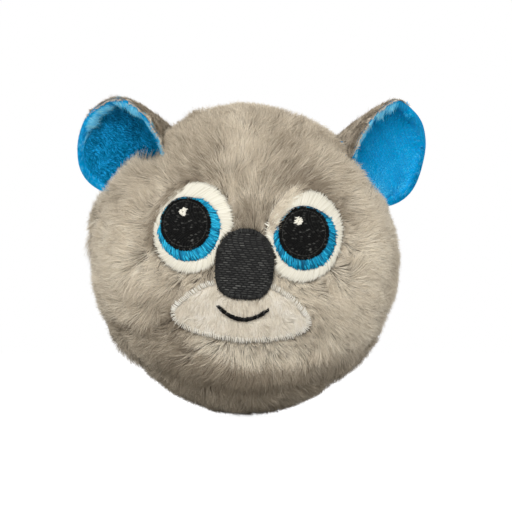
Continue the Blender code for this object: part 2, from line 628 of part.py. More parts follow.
class Ear:
    """A cupped ear on its sewn root, which works as a soft hinge."""

    def __init__(self, name, root_aim, facing_aim, rim_rise, fold):
        self.name = name
        self.rim_rise = rim_rise
        self.fold = fold
        outward = aim(root_aim)
        self.root = on_ball(outward, swollen_radius(outward))
        self.forward = aim(facing_aim)
        self.rise = unit(outward - self.forward * (outward @ self.forward))
        self.along = np.cross(self.forward, self.rise)
        self.along *= -np.sign(self.along[0] * outward[0])
        root_ends = self.rim(np.radians(EAR_HINGE_TURNS_DEGREES))
        self.hinge = np.mean([*root_ends, self.root], axis=0)
        self.hinge_axis = unit(root_ends[0] - root_ends[1])

    def placed(self, along, rise, forward):
        """A point of the ear's own frame in the part's."""
        return (
            self.root
            + np.multiply.outer(along, self.along)
            + np.multiply.outer(rise, self.rise)
            + np.multiply.outer(forward, self.forward)
        )

    def folded(self, turn):
        """How far the side nearer the crown is folded forwards at these turns round the rim."""
        return self.fold * np.clip(np.cos(turn), 0, 1) ** EAR_FOLD_POWER * (1 - np.sin(turn))

    def rim(self, turn):
        """Points of the cup's rim at these turns round it."""
        return self.placed(
            EAR_RIM_SHIFT + EAR_HALF_WIDTH * np.cos(turn),
            self.rim_rise + EAR_HALF_HEIGHT * np.sin(turn),
            EAR_RIM_FORWARD + EAR_RIM_CURL * np.cos(turn) + self.folded(turn),
        )

    def ribs(self, turn):
        """The cup's outer surface as ribs that run from the rim round the belly to the root."""
        across, up, fold = np.cos(turn), np.sin(turn), self.folded(turn)
        belly = self.placed(
            EAR_RIM_SHIFT + (EAR_BELLY_HALF_WIDTH + EAR_BELLY_CURL * across) * across,
            self.rim_rise + EAR_BELLY_HALF_HEIGHT * up,
            EAR_BELLY_FOLD_SHARE * fold - EAR_BELLY_BACK,
        )
        root = self.placed(
            EAR_RIM_SHIFT + EAR_ROOT_SHIFT + EAR_ROOT_HALF_WIDTH * across,
            np.full(len(turn), -EAR_ROOT_DEPTH),
            EAR_ROOT_FORWARD - EAR_ROOT_BACK * up + EAR_ROOT_FOLD_SHARE * fold,
        )
        v = np.linspace(0, 1, EAR_RIB_SAMPLES)[:, None, None]
        return (1 - v) ** 2 * self.rim(turn) + 2 * v * (1 - v) * belly + v**2 * root

    def inward(self, surface):
        """Directions from the cup's outer surface towards the middle of its opening."""
        focus = self.placed(np.array(EAR_RIM_SHIFT), np.array(self.rim_rise), np.array(EAR_FOCUS_FORWARD))
        return unit(focus - surface)

    def clearance(self, points):
        """How far points stay clear of the ball's pile while the ear flexes through its range."""
        offset = points - self.hinge
        along = (offset @ self.hinge_axis)[..., None] * self.hinge_axis
        across = offset - along
        least = np.full(points.shape[:-1], np.inf)
        for share in FLEX_TEST_SHARES:
            angle = math.radians(EAR_FLEX_DEGREES) * share
            flexed = along + across * math.cos(angle) + np.cross(self.hinge_axis, across) * math.sin(angle)
            from_centre = flexed + self.hinge - BALL_CENTRE
            reach = np.linalg.norm(from_centre, axis=-1)
            least = np.minimum(least, reach - swollen_radius(from_centre / reach[..., None]))
        return least - SEAT_GAP

    def turns(self, depths):
        """The turns round the rim over which every layer starts clear of the ball."""
        turn = np.radians(np.linspace(*EAR_RIM_SEARCH_DEGREES, EAR_RIB_SAMPLES))
        surface = self.ribs(turn)
        inward = self.inward(surface)
        clear = [self.clearance(surface[0] + inward[0] * depth) > EAR_CORNER_HEIGHT for depth in depths]
        kept = turn[np.all(clear, axis=0)]
        return np.linspace(kept[0], kept[-1], EAR_RIBS + 1)

    def layer(self, surface, depth):
        """The surface moved into the cup by a depth and trimmed where it meets the ball."""
        moved = surface + self.inward(surface) * depth
        clear = self.clearance(moved)
        columns = []
        for rib in range(moved.shape[1]):
            met = np.nonzero(clear[:, rib] < 0)[0]
            last = len(clear) - 1
            if len(met):
                before, after = clear[met[0] - 1, rib], clear[met[0], rib]
                last = met[0] - 1 + before / (before - after)
            places = np.linspace(0, last, EAR_ROWS + 1)
            samples = np.arange(len(clear))
            columns.append(np.stack([np.interp(places, samples, moved[:, rib, k]) for k in range(3)], -1))
        return np.array(columns).swapaxes(0, 1)

    def build(self, back_finish, lining_finish):
        """The plush back and the lining, one inside the other."""
        depths = np.cumsum([0, EAR_BACK_THICKNESS, EAR_LAYER_GAP, EAR_LINING_THICKNESS])
        surface = self.ribs(self.turns(depths))
        layers = [self.layer(surface, depth) for depth in depths]
        Shell(f"{self.name}_ear_back", back_finish).build(layers[0], layers[1], closed=False)
        Shell(f"{self.name}_ear_lining", lining_finish).build(layers[2], layers[3], closed=False)


def main():
    """Clears the scene and builds the toy."""
    for old in list(bpy.data.objects):
        bpy.data.objects.remove(old)
    fur = finish("grey taupe pile", (0.42, 0.37, 0.29), 0.95)
    fibre = finish("polyester fibre", (0.86, 0.86, 0.84), 0.9)
    materials = {
        "black": finish("black thread", (0.012, 0.012, 0.012), 0.6),
        "blue": finish("blue thread", (0.01, 0.23, 0.44), 0.45),
        "white": finish("white thread", (0.84, 0.80, 0.70), 0.6),
        "cream": finish("cream short pile", (0.68, 0.60, 0.48), 0.9),
    }
    back = finish("grey short pile", (0.38, 0.34, 0.27), 0.9)
    lining = finish("blue short pile", (0.005, 0.19, 0.42), 0.8)
    build_ball(fur, fibre)
    build_eye("left", LEFT_EYE, materials)
    build_eye("right", RIGHT_EYE, materials)
    build_muzzle(materials)
    ears = (
        Ear("left", EAR_ROOT_AIM_LEFT, EAR_FACING_AIM_LEFT, EAR_RIM_RISE_LEFT, EAR_FOLD_LEFT),
        Ear("right", EAR_ROOT_AIM_RIGHT, EAR_FACING_AIM_RIGHT, EAR_RIM_RISE_RIGHT, EAR_FOLD_RIGHT),
    )
    for ear in ears:
        ear.build(back, lining)
        print(ear.name, "ear hinge at", np.round(ear.hinge, 5), "along", np.round(ear.hinge_axis, 4))


main()
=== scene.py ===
"""The looks of the plush koala: pile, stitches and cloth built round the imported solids.

Metres, +Z up. The face looks towards -Y, and "left" is the left of the front view.
"""

import json
import logging
import math
from dataclasses import dataclass, replace
from enum import Enum
from typing import Any, Callable, Iterable, Sequence

import bmesh
import bpy
import numpy as np
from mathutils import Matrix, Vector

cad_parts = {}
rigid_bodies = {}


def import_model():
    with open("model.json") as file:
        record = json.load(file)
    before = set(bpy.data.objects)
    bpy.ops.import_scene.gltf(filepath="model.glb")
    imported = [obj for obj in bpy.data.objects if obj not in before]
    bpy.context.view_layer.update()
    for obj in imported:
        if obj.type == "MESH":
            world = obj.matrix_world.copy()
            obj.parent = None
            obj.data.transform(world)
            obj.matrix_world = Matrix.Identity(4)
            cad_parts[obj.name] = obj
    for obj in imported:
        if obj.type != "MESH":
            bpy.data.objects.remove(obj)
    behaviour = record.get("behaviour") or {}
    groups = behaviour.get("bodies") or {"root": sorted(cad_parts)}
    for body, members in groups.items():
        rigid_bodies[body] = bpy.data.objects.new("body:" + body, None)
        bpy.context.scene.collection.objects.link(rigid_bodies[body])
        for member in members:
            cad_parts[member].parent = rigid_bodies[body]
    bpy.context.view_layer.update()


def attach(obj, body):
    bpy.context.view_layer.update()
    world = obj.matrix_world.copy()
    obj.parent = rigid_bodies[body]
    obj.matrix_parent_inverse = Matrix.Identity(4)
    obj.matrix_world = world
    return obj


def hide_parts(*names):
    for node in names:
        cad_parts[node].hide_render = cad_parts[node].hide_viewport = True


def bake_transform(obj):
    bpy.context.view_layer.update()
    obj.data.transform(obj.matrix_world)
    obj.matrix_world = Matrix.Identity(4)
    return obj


Array = np.ndarray
Colour = tuple[float, float, float]
Angles = tuple[float, float]
Span = tuple[float, float]
Path = tuple[tuple[float, float], ...]

log = logging.getLogger("koala")

BAKE_MAP = "OFBake"
MOST_TRIANGLES = 196_000
TENTHS = 1e4


# ---------------------------------------------------------------- nodes


def joining(operation: str, swapped: bool = False) -> Callable[["Wire", Any], "Wire"]:
    """A method that joins a wire and another value, with the other first when swapped."""

    def method(self: "Wire", other: Any) -> "Wire":
        """The two values joined."""
        return self.tree.maths(operation, *((other, self) if swapped else (self, other)))

    return method


class Wire:
    """One node socket that joins in sums, so that node maths reads as it is meant."""

    def __init__(self, tree: "Tree", socket: bpy.types.NodeSocket) -> None:
        """Keeps the socket and the tree it belongs to."""
        self.tree = tree
        self.socket = socket

    __add__, __radd__ = joining("ADD"), joining("ADD", True)
    __sub__, __rsub__ = joining("SUBTRACT"), joining("SUBTRACT", True)
    __rtruediv__, __pow__ = joining("DIVIDE", True), joining("POWER")
    cross = joining("CROSS_PRODUCT")

    @property
    def is_vector(self) -> bool:
        """Whether the socket carries three numbers."""
        return self.socket.type == "VECTOR"

    def __mul__(self, other: Any) -> "Wire":
        """This times the other; a vector times a number is scaled by it."""
        return self.tree.product(self, other)

    __rmul__ = __mul__

    def dot(self, other: "Wire") -> "Wire":
        """The dot product with another vector."""
        return self.tree.maths("DOT_PRODUCT", self, other, output=1)

    def unit(self) -> "Wire":
        """This vector made one long."""
        return self.tree.maths("NORMALIZE", self)


class Tree:
    """A shader or geometry tree, with one method that makes any node."""

    def __init__(self, nodes: bpy.types.NodeTree) -> None:
        """Wraps a node tree."""
        self.nodes = nodes

    def node(
        self, kind: str, settings: dict[str, Any] | None = None, inputs: dict[Any, Any] | None = None
    ) -> bpy.types.Node:
        """Makes one node.

        Args:
            kind: The node's type.
            settings: Its own settings, set first; "stops" fills a colour ramp.
            inputs: Values or wires by socket name or number.

        Returns:
            The node.
        """
        node = self.nodes.nodes.new(kind)
        for name, value in (settings or {}).items():
            if name == "stops":
                self.fill_ramp(node.color_ramp, value)
            else:
                setattr(node, name, value)
        for key, value in (inputs or {}).items():
            if isinstance(value, Wire):
                self.nodes.links.new(value.socket, node.inputs[key])
            else:
                node.inputs[key].default_value = value
        return node

    def fill_ramp(self, ramp: bpy.types.ColorRamp, stops: Sequence[tuple[float, Colour]]) -> None:
        """Gives a ramp its stops."""
        while len(ramp.elements) < len(stops):
            ramp.elements.new(1.0)
        for element, (place, colour) in zip(ramp.elements, stops):
            element.position = place
            element.color = (*colour, 1)

    def wire(
        self, kind: str, settings: dict[str, Any] | None = None, inputs: dict[Any, Any] | None = None, output: Any = 0
    ) -> Wire:
        """Makes one node and returns one of its outputs."""
        return Wire(self, self.node(kind, settings, inputs).outputs[output])

    def maths(self, operation: str, *values: Any, output: int = 0) -> Wire:
        """A Math node, or a Vector Math node where a value is a vector."""
        vector = any(isinstance(value, Wire) and value.is_vector for value in values)
        kind = "ShaderNodeVectorMath" if vector else "ShaderNodeMath"
        return self.wire(kind, {"operation": operation}, dict(enumerate(values)), output)

    def product(self, one: Wire, other: Any) -> Wire:
        """The product of two values, where a vector by a number is a Scale."""
        vectors = [isinstance(value, Wire) and value.is_vector for value in (one, other)]
        if vectors == [True, False] and not isinstance(other, (tuple, list)):
            return self.wire("ShaderNodeVectorMath", {"operation": "SCALE"}, {0: one, "Scale": other})
        if vectors == [False, True]:
            return self.wire("ShaderNodeVectorMath", {"operation": "SCALE"}, {0: other, "Scale": one})
        return self.maths("MULTIPLY", one, other)

    def mix(self, share: Any, first: Any, second: Any) -> Wire:
        """A mix of two colours."""
        return self.wire("ShaderNodeMix", {"data_type": "RGBA"}, {0: share, 6: first, 7: second}, output=2)

    def ramp(self, value: Wire, stops: Sequence[tuple[float, Colour]]) -> Wire:
        """A colour from a value."""
        return self.wire("ShaderNodeValToRGB", {"stops": stops}, {0: value})


class GrowthTree(Tree):
    """A geometry tree that sets one small shape on every point of a mesh."""

    def __init__(self, name: str, sizes: dict[str, str]) -> None:
        """Makes the tree with its named inputs.

        Args:
            name: The tree's name.
            sizes: Each input's name and its socket type.
        """
        super().__init__(bpy.data.node_groups.new(name, "GeometryNodeTree"))
        face = self.nodes.interface
        face.new_socket("Points", in_out="INPUT", socket_type="NodeSocketGeometry")
        for label, kind in sizes.items():
            face.new_socket(label, in_out="INPUT", socket_type=kind)
        face.new_socket("Finish", in_out="INPUT", socket_type="NodeSocketMaterial")
        face.new_socket("Geometry", in_out="OUTPUT", socket_type="NodeSocketGeometry")
        self.group = self.node("NodeGroupInput")

    def given(self, name: str) -> Wire:
        """One of the tree's own inputs."""
        return Wire(self, self.group.outputs[name])

    def attribute(self, name: str, kind: str = "FLOAT") -> Wire:
        """A named attribute of the geometry."""
        return self.wire("GeometryNodeInputNamedAttribute", {"data_type": kind}, {"Name": name})

    def stored(self, geometry: Wire, name: str, value: Wire, kind: str = "FLOAT", domain: str = "POINT") -> Wire:
        """The geometry with one more attribute."""
        return self.wire(
            "GeometryNodeStoreNamedAttribute",
            {"data_type": kind, "domain": domain},
            {"Geometry": geometry, "Name": name, "Value": value},
        )

    def repeated(self, columns: Any, rows: Any) -> Wire:
        """One small grid at each point, realised, with "side" from -1 to 1 and "height" from 0 to 1."""
        grid = self.wire(
            "GeometryNodeMeshGrid", {}, {"Size X": 1.0, "Size Y": 1.0, "Vertices X": columns, "Vertices Y": rows}
        )
        place = self.node("ShaderNodeSeparateXYZ", {}, {0: self.wire("GeometryNodeInputPosition")})
        grid = self.stored(grid, "side", Wire(self, place.outputs[0]) * 2.0)
        grid = self.stored(grid, "height", Wire(self, place.outputs[1]) + 0.5)
        placed = self.wire("GeometryNodeInstanceOnPoints", {}, {"Points": self.given("Points"), "Instance": grid})
        return self.wire("GeometryNodeRealizeInstances", {}, {"Geometry": placed})

    def close(self, geometry: Wire, position: Wire) -> None:
        """Puts the vertices in place, stores the finish map and ends the tree."""
        moved = self.wire("GeometryNodeSetPosition", {}, {"Geometry": geometry, "Position": position})
        tone, height = self.attribute("tone"), self.attribute("height")
        place = self.wire("ShaderNodeCombineXYZ", {}, {0: tone, 1: height})
        mapped = self.stored(moved, BAKE_MAP, place, "FLOAT2", "CORNER")
        smooth = self.wire("GeometryNodeSetShadeSmooth", {}, {"Geometry": mapped})
        dressed = self.wire("GeometryNodeSetMaterial", {}, {"Geometry": smooth, "Material": self.given("Finish")})
        self.node("NodeGroupOutput", {}, {0: dressed})

    def grow(
        self, name: str, points: dict[str, Array], sizes: dict[str, Any], finish: bpy.types.Material
    ) -> bpy.types.Object:
        """Runs the tree on a set of points.

        Args:
            name: The new piece's name.
            points: The points' attributes, where "root" is their place.
            sizes: Values of the tree's inputs.
            finish: The piece's material.

        Returns:
            The plain mesh object.
        """
        carrier = bpy.data.objects.new(f"{name}_points", attribute_mesh(f"{name}_points", points))
        bpy.context.scene.collection.objects.link(carrier)
        modifier = carrier.modifiers.new("growth", "NODES")
        modifier.node_group = self.nodes
        for item in self.nodes.interface.items_tree:
            if item.name in sizes:
                modifier[item.identifier] = sizes[item.name]
            elif item.name == "Finish":
                modifier[item.identifier] = finish
        graph = bpy.context.evaluated_depsgraph_get()
        mesh = bpy.data.meshes.new_from_object(
            carrier.evaluated_get(graph), preserve_all_data_layers=True, depsgraph=graph
        )
        bpy.data.objects.remove(carrier)
        for label in [*points, "side", "height"]:
            if label in mesh.attributes:
                mesh.attributes.remove(mesh.attributes[label])
        mesh.name = name
        piece = bpy.data.objects.new(name, mesh)
        bpy.context.scene.collection.objects.link(piece)
        return piece


def pile_tree() -> GrowthTree:
    """The tree that lays one bent, tapering strand on each point and draws tips into tufts."""
    tree = GrowthTree(
        "laid pile",
        {"Joints": "NodeSocketInt"} | dict.fromkeys(
            ("Strand width", "Tuft size", "Tuft pull", "Lock size", "Lock pull", "Droop"), "NodeSocketFloat"
        ),
    )
    strands = tree.repeated(2, tree.given("Joints"))
    root, out, nap = (tree.attribute(name, "FLOAT_VECTOR") for name in ("root", "out", "nap"))
    sway = tree.attribute("sway", "FLOAT_VECTOR")
    length, lift, roll = (tree.attribute(name) for name in ("length", "lift", "roll"))
    height, side = tree.attribute("height"), tree.attribute("side")
    droop = tree.given("Droop")
    lay = (1.0 - lift * lift) ** 0.5
    rise = height * (lift - height * droop * lift)
    over = height * (lay + height * droop * 0.6)
    bend = height * height
    path = root + out * (length * rise) + nap * (length * over) + sway * (length * bend)
    for size, pull in (("Tuft size", "Tuft pull"), ("Lock size", "Lock pull")):
        middle = tree.wire(
            "ShaderNodeTexVoronoi",
            {"voronoi_dimensions": "3D", "feature": "F1"},
            {"Vector": root, "Scale": 1.0 / tree_number(tree.given(size)), "Randomness": 1.0},
            output="Position",
        )
        away = middle - root
        flat = away - out * away.dot(out)
        path = path + flat * (tree.given(pull) * height**1.4)
    along = (out * (lift - height * droop * lift * 2.0) + nap * (lay + height * droop * 1.2)).unit()
    across = along.cross(out).unit()
    turned = across * tree.maths("COSINE", roll) + along.cross(across) * tree.maths("SINE", roll)
    taper = 1.0 - bend * 0.82
    path = path + turned * (side * tree.given("Strand width") * 0.5 * taper)
    tree.close(strands, path)
    return tree


def tree_number(wire: Wire) -> Wire:
    """A number's wire, kept above zero so that it can divide."""
    return wire.tree.maths("MAXIMUM", wire, 1e-5)


def stitch_tree() -> GrowthTree:
    """The tree that lays one rounded length of thread from each point to its far end."""
    tree = GrowthTree(
        "laid thread", {"Facets": "NodeSocketInt", "Joints": "NodeSocketInt", "Sink": "NodeSocketFloat"}
    )
    threads = tree.repeated(tree.given("Facets"), tree.given("Joints"))
    root, end, out = (tree.attribute(name, "FLOAT_VECTOR") for name in ("root", "end", "out"))
    width, rise = tree.attribute("width"), tree.attribute("rise")
    height, side = tree.attribute("height"), tree.attribute("side")
    run = end - root
    across = run.cross(out).unit()
    middle = height * 2.0 - 1.0
    dive = middle * middle
    dive = dive * dive * dive
    angle = side * (math.pi / 2)
    crest = tree.maths("COSINE", angle) * rise * (1.0 - dive) - tree.given("Sink") * dive
    spread = tree.maths("SINE", angle) * width * 0.5 * (1.0 - dive * 0.45)
    tree.close(threads, root + run * height + out * crest + across * spread)
    return tree


def attribute_mesh(name: str, points: dict[str, Array]) -> bpy.types.Mesh:
    """A mesh of loose vertices with attributes."""
    mesh = bpy.data.meshes.new(name)
    root = points["root"]
    mesh.vertices.add(len(root))
    mesh.vertices.foreach_set("co", np.ascontiguousarray(root, np.float32).ravel())
    for label, values in points.items():
        kind = "FLOAT_VECTOR" if values.ndim == 2 else "FLOAT"
        layer = mesh.attributes.new(label, kind, "POINT")
        flat = np.ascontiguousarray(values, np.float32).ravel()
        layer.data.foreach_set("vector" if values.ndim == 2 else "value", flat)
    return mesh


# ---------------------------------------------------------------- finishes


class Finish:
    """A material made of nodes round one Principled shader."""

    def start(self, name: str, roughness: float) -> tuple[bpy.types.Material, Tree, bpy.types.Node]:
        """A new material, its tree and its shader."""
        material = bpy.data.materials.new(name)
        material.use_nodes = True
        shader = material.node_tree.nodes["Principled BSDF"]
        shader.inputs["Roughness"].default_value = roughness
        return material, Tree(material.node_tree), shader

    def strand_map(self, tree: Tree) -> tuple[Wire, Wire]:
        """A strand's tone, the map's u, and the place along it, the map's v."""
        place = tree.node("ShaderNodeSeparateXYZ", {}, {0: tree.wire("ShaderNodeUVMap", {"uv_map": BAKE_MAP})})
        return Wire(tree, place.outputs[0]), Wire(tree, place.outputs[1])

    def bump(self, tree: Tree, shader: bpy.types.Node, height: Wire, strength: float, distance: float) -> None:
        """Roughens the surface by a small height."""
        bump = tree.wire("ShaderNodeBump", {}, {"Height": height, "Strength": strength, "Distance": distance})
        tree.nodes.links.new(bump.socket, shader.inputs["Normal"])


@dataclass(frozen=True)
class PileFinish(Finish):
    """Pile whose colour runs from root to tip, and from dark to light strands."""

    name: str
    root_dark: Colour
    root_light: Colour
    tip_dark: Colour
    tip_middle: Colour
    tip_light: Colour
    roughness: float = 0.85
    turn_place: float = 0.55
    turn_length: float = 0.35
    middle_place: float = 0.5
    specular: float = 0.25

    def build(self) -> bpy.types.Material:
        """The material."""
        material, tree, shader = self.start(self.name, self.roughness)
        tone, height = self.strand_map(tree)
        root = tree.ramp(tone, ((0.0, self.root_dark), (1.0, self.root_light)))
        tip = tree.ramp(tone, ((0.0, self.tip_dark), (self.middle_place, self.tip_middle), (1.0, self.tip_light)))
        share = tree.wire(
            "ShaderNodeMapRange",
            {"interpolation_type": "SMOOTHSTEP"},
            {0: height, 1: 0.0, 2: self.turn_place + self.turn_length},
        )
        tree.nodes.links.new(tree.mix(share, root, tip).socket, shader.inputs["Base Color"])
        shader.inputs["Specular IOR Level"].default_value = self.specular
        return material


@dataclass(frozen=True)
class ThreadFinish(Finish):
    """Embroidery thread with a little sheen, and painted shade where it dives into the cloth."""

    name: str
    dark: Colour
    middle: Colour
    light: Colour
    roughness: float = 0.45
    specular: float = 0.5
    end_shade: float = 0.55

    def build(self) -> bpy.types.Material:
        """The material."""
        material, tree, shader = self.start(self.name, self.roughness)
        tone, height = self.strand_map(tree)
        body = tree.ramp(tone, ((0.0, self.dark), (0.5, self.middle), (1.0, self.light)))
        # Painted shade at both ends of each stitch, where it dives into the cloth.
        ends = tree.maths("ABSOLUTE", height * 2.0 - 1.0) ** 5.0
        shade = tree.mix(ends * self.end_shade, body, (*(0.5 * part for part in self.dark), 1))
        tree.nodes.links.new(shade.socket, shader.inputs["Base Color"])
        shader.inputs["Specular IOR Level"].default_value = self.specular
        return material


@dataclass(frozen=True)
class ClothFinish(Finish):
    """Backing cloth: a fine knit with mottled dye."""

    name: str
    colour: Colour
    mottle: Colour
    wave_scale: float = 0.314 / 0.0007
    roughness: float = 0.95

    def build(self) -> bpy.types.Material:
        """The material: ribs and mottling on the piece's own place."""
        material, tree, shader = self.start(self.name, self.roughness)
        place = tree.wire("ShaderNodeTexCoord", output="Object")
        mottle = tree.wire("ShaderNodeTexNoise", {}, {"Vector": place, "Scale": 260.0, "Detail": 3.0})
        ribs = tree.wire(
            "ShaderNodeTexWave",
            {"bands_direction": "DIAGONAL"},
            {"Vector": place, "Scale": self.wave_scale, "Distortion": 1.2},
            1,
        )
        body = tree.mix(mottle, (*self.colour, 1), (*self.mottle, 1))
        # Painted shade in the valleys between the knit's ribs.
        shade = tree.mix(ribs * 0.45, body, (*(0.55 * part for part in self.colour), 1))
        tree.nodes.links.new(shade.socket, shader.inputs["Base Color"])
        self.bump(tree, shader, ribs + mottle * 0.6, 0.4, 0.0002)
        return material


@dataclass(frozen=True)
class FibreFinish(Finish):
    """Loose stuffing fibre: white with matted clumps."""

    name: str

    def build(self) -> bpy.types.Material:
        """The material: clumps and fine fibre lines on the piece's own place."""
        material, tree, shader = self.start(self.name, 0.95)
        place = tree.wire("ShaderNodeTexCoord", output="Object")
        clumps = tree.wire("ShaderNodeTexNoise", {}, {"Vector": place, "Scale": 160.0, "Detail": 5.0})
        colour = tree.mix(clumps, (0.66, 0.65, 0.62, 1), (0.9, 0.9, 0.88, 1))
        tree.nodes.links.new(colour.socket, shader.inputs["Base Color"])
        self.bump(tree, shader, clumps, 0.7, 0.0008)
        return material


LONG_PILE = PileFinish(
    "grey taupe long pile",
    root_dark=(0.12, 0.093, 0.066),
    root_light=(0.34, 0.285, 0.21),
    tip_dark=(0.36, 0.295, 0.215),
    tip_middle=(0.70, 0.61, 0.475),
    tip_light=(0.93, 0.85, 0.70),
    turn_place=0.35,
)
EAR_PILE = PileFinish(
    "grey short pile",
    root_dark=(0.12, 0.10, 0.075),
    root_light=(0.25, 0.21, 0.16),
    tip_dark=(0.34, 0.29, 0.22),
    tip_middle=(0.56, 0.48, 0.375),
    tip_light=(0.82, 0.74, 0.60),
    turn_place=0.2,
)
BLUE_PILE = PileFinish(
    "blue short pile",
    root_dark=(0.0, 0.05, 0.12),
    root_light=(0.0, 0.50, 0.96),
    tip_dark=(0.0, 0.07, 0.15),
    tip_middle=(0.0, 0.54, 0.98),
    tip_light=(0.14, 0.74, 0.97),
    turn_place=0.2,
    middle_place=0.75,
    specular=0.04,
)
# Lighter than the blue pile: a painted highlight along the ears' rims.
RIM_HIGHLIGHT_PILE = PileFinish(
    "blue rim pile with painted highlight",
    root_dark=(0.0, 0.24, 0.46),
    root_light=(0.0, 0.46, 0.84),
    tip_dark=(0.0, 0.34, 0.66),
    tip_middle=(0.0, 0.50, 0.92),
    tip_light=(0.40, 0.86, 0.94),
    turn_place=0.2,
    specular=0.04,
)
CREAM_PILE = PileFinish(
    "cream short pile",
    root_dark=(0.52, 0.44, 0.33),
    root_light=(0.74, 0.66, 0.54),
    tip_dark=(0.68, 0.60, 0.48),
    tip_middle=(0.88, 0.81, 0.68),
    tip_light=(0.97, 0.93, 0.85),
    turn_place=0.3,
)
WHITE_THREAD = ThreadFinish(
    "white thread", (0.58, 0.53, 0.42), (0.78, 0.74, 0.62), (0.90, 0.87, 0.77), 0.5, 0.25
)
CREAM_THREAD = ThreadFinish(
    "cream thread", (0.55, 0.49, 0.39), (0.80, 0.75, 0.64), (0.93, 0.90, 0.82), 0.4
)
BLUE_THREAD = ThreadFinish(
    "blue thread", (0.002, 0.07, 0.14), (0.004, 0.31, 0.54), (0.05, 0.64, 0.88), 0.45, 0.15
)
# The light end of the black thread's ramp paints glints on single stitches.
BLACK_THREAD = ThreadFinish(
    "black thread", (0.002, 0.002, 0.002), (0.005, 0.005, 0.0045), (0.13, 0.13, 0.12), 0.55, 0.10
)
# A lighter copy of the black thread, painting highlights along the nose's rows of stitches.
LIT_NOSE_THREAD = ThreadFinish(
    "lit black nose thread", (0.008, 0.008, 0.008), (0.042, 0.042, 0.040), (0.14, 0.14, 0.13), 0.5, 0.18
)
GREY_BACKING = ClothFinish("grey knit backing", (0.10, 0.085, 0.062), (0.17, 0.145, 0.11))
BLUE_BACKING = ClothFinish("blue knit backing", (0.0, 0.34, 0.74), (0.0, 0.44, 0.90))
EAR_BACKING = ClothFinish("pale grey knit backing", (0.40, 0.34, 0.26), (0.52, 0.45, 0.35))
CREAM_BACKING = ClothFinish("cream knit backing", (0.66, 0.59, 0.48), (0.78, 0.71, 0.60))
# The white and blue grounds are darkened below their threads, as painted shade in the gaps between stitches.
GAP_SHADE_WHITE_GROUND = ClothFinish("white stitch ground", (0.60, 0.56, 0.46), (0.72, 0.68, 0.58))
GAP_SHADE_BLUE_GROUND = ClothFinish("blue stitch ground", (0.004, 0.06, 0.13), (0.006, 0.09, 0.18))
BLACK_GROUND = ClothFinish("black stitch ground", (0.006, 0.006, 0.006), (0.012, 0.012, 0.012))


# ---------------------------------------------------------------- shapes


def unit(vectors: Array) -> Array:
    """The vectors made one long."""
    return vectors / np.maximum(np.linalg.norm(vectors, axis=-1, keepdims=True), 1e-12)


def aim(angles: Angles) -> Array:
    """The direction at an azimuth from the front, towards +X, and an elevation, in degrees."""
    azimuth, elevation = np.radians(angles)
    return np.array([
        math.sin(azimuth) * math.cos(elevation),
        -math.cos(azimuth) * math.cos(elevation),
        math.sin(elevation),
    ])


def tenths(*numbers: int) -> Array:
    """Places in the plane, in metres, from coordinates in tenths of a millimetre."""
    return np.array(numbers).reshape(-1, 2) / TENTHS


def along_surface(vectors: Array, out: Array) -> Array:
    """The vectors made one long after what points outwards is taken off."""
    return unit(vectors - out * (vectors * out).sum(-1, keepdims=True))


def smooth_path(points: Any, count: int) -> Array:
    """Points evenly spaced by parameter on a smooth curve through the given ones."""
    points = np.array(points, float)
    ends = 2 * points[[0, -1]] - points[[1, -2]]
    held = np.vstack([ends[:1], points, ends[1:]])
    places = np.linspace(0, len(points) - 1, count)
    span = np.minimum(places.astype(int), len(points) - 2)
    t = (places - span)[:, None]
    a, b, c, d = (held[span + k] for k in range(4))
    return 0.5 * (2 * b + (c - a) * t + (2 * a - 5 * b + 4 * c - d) * t**2 + (3 * b - a - 3 * c + d) * t**3)


def oval(half_width: float, half_height: float, columns: int, upper: float = 2.0, lower: float = 2.0) -> Array:
    """A closed oval, anticlockwise from its right end; a power over 2 squares its shoulders."""
    turn = np.arange(columns) * 2 * math.pi / columns
    power = np.where(np.sin(turn) < 0, lower, upper)
    across = half_width * np.sign(np.cos(turn)) * np.abs(np.cos(turn)) ** (2 / power)
    up = half_height * np.sign(np.sin(turn)) * np.abs(np.sin(turn)) ** (2 / power)
    return np.stack([across, up], -1)


def turned(points: Array, degrees: float) -> Array:
    """Flat points turned anticlockwise about their origin."""
    angle = math.radians(degrees)
    across, up = points[..., 0], points[..., 1]
    return np.stack([
        across * math.cos(angle) - up * math.sin(angle),
        across * math.sin(angle) + up * math.cos(angle),
    ], -1)


def resampled(outline: Array, count: int) -> Array:
    """A closed outline's points spaced evenly along it."""
    closed = np.vstack([outline, outline[:1]])
    along = np.concatenate([[0], np.cumsum(np.linalg.norm(np.diff(closed, axis=0), axis=1))])
    places = np.arange(count) * along[-1] / count
    return np.stack([np.interp(places, along, closed[:, k]) for k in range(closed.shape[1])], -1)


def pulled_in(outline: Array, distance: Any) -> Array:
    """An anticlockwise closed outline moved inwards, or outwards for a negative distance."""
    along = unit(np.roll(outline, -1, axis=0) - np.roll(outline, 1, axis=0))
    inward = np.stack([-along[:, 1], along[:, 0]], -1)
    return outline + inward * distance


def outline_distance(points: Array, outline: Array, signed: bool = False) -> Array:
    """How far flat points lie outside a closed outline: zero inside it, or less than zero if signed."""
    start, run = outline, np.roll(outline, -1, axis=0) - outline
    result = np.empty(len(points))
    for first in range(0, len(points), 20000):
        part = points[first:first + 20000]
        offset = part[:, None, :] - start[None]
        share = np.clip((offset * run).sum(-1) / (run * run).sum(-1), 0, 1)
        distance = np.linalg.norm(offset - share[..., None] * run, axis=-1).min(-1)
        ahead = np.roll(start, -1, axis=0)[None, :, 1] > part[:, None, 1]
        beyond = (start[None, :, 1] > part[:, None, 1]) != ahead
        rise = np.where(run[:, 1] == 0, 1, run[:, 1])
        crossing = start[:, 0] + (part[:, None, 1] - start[:, 1]) / rise * run[:, 0]
        inside = (beyond & (part[:, None, 0] < crossing)).sum(-1) % 2 == 1
        result[first:first + 20000] = np.where(inside, -distance if signed else 0, distance)
    return result


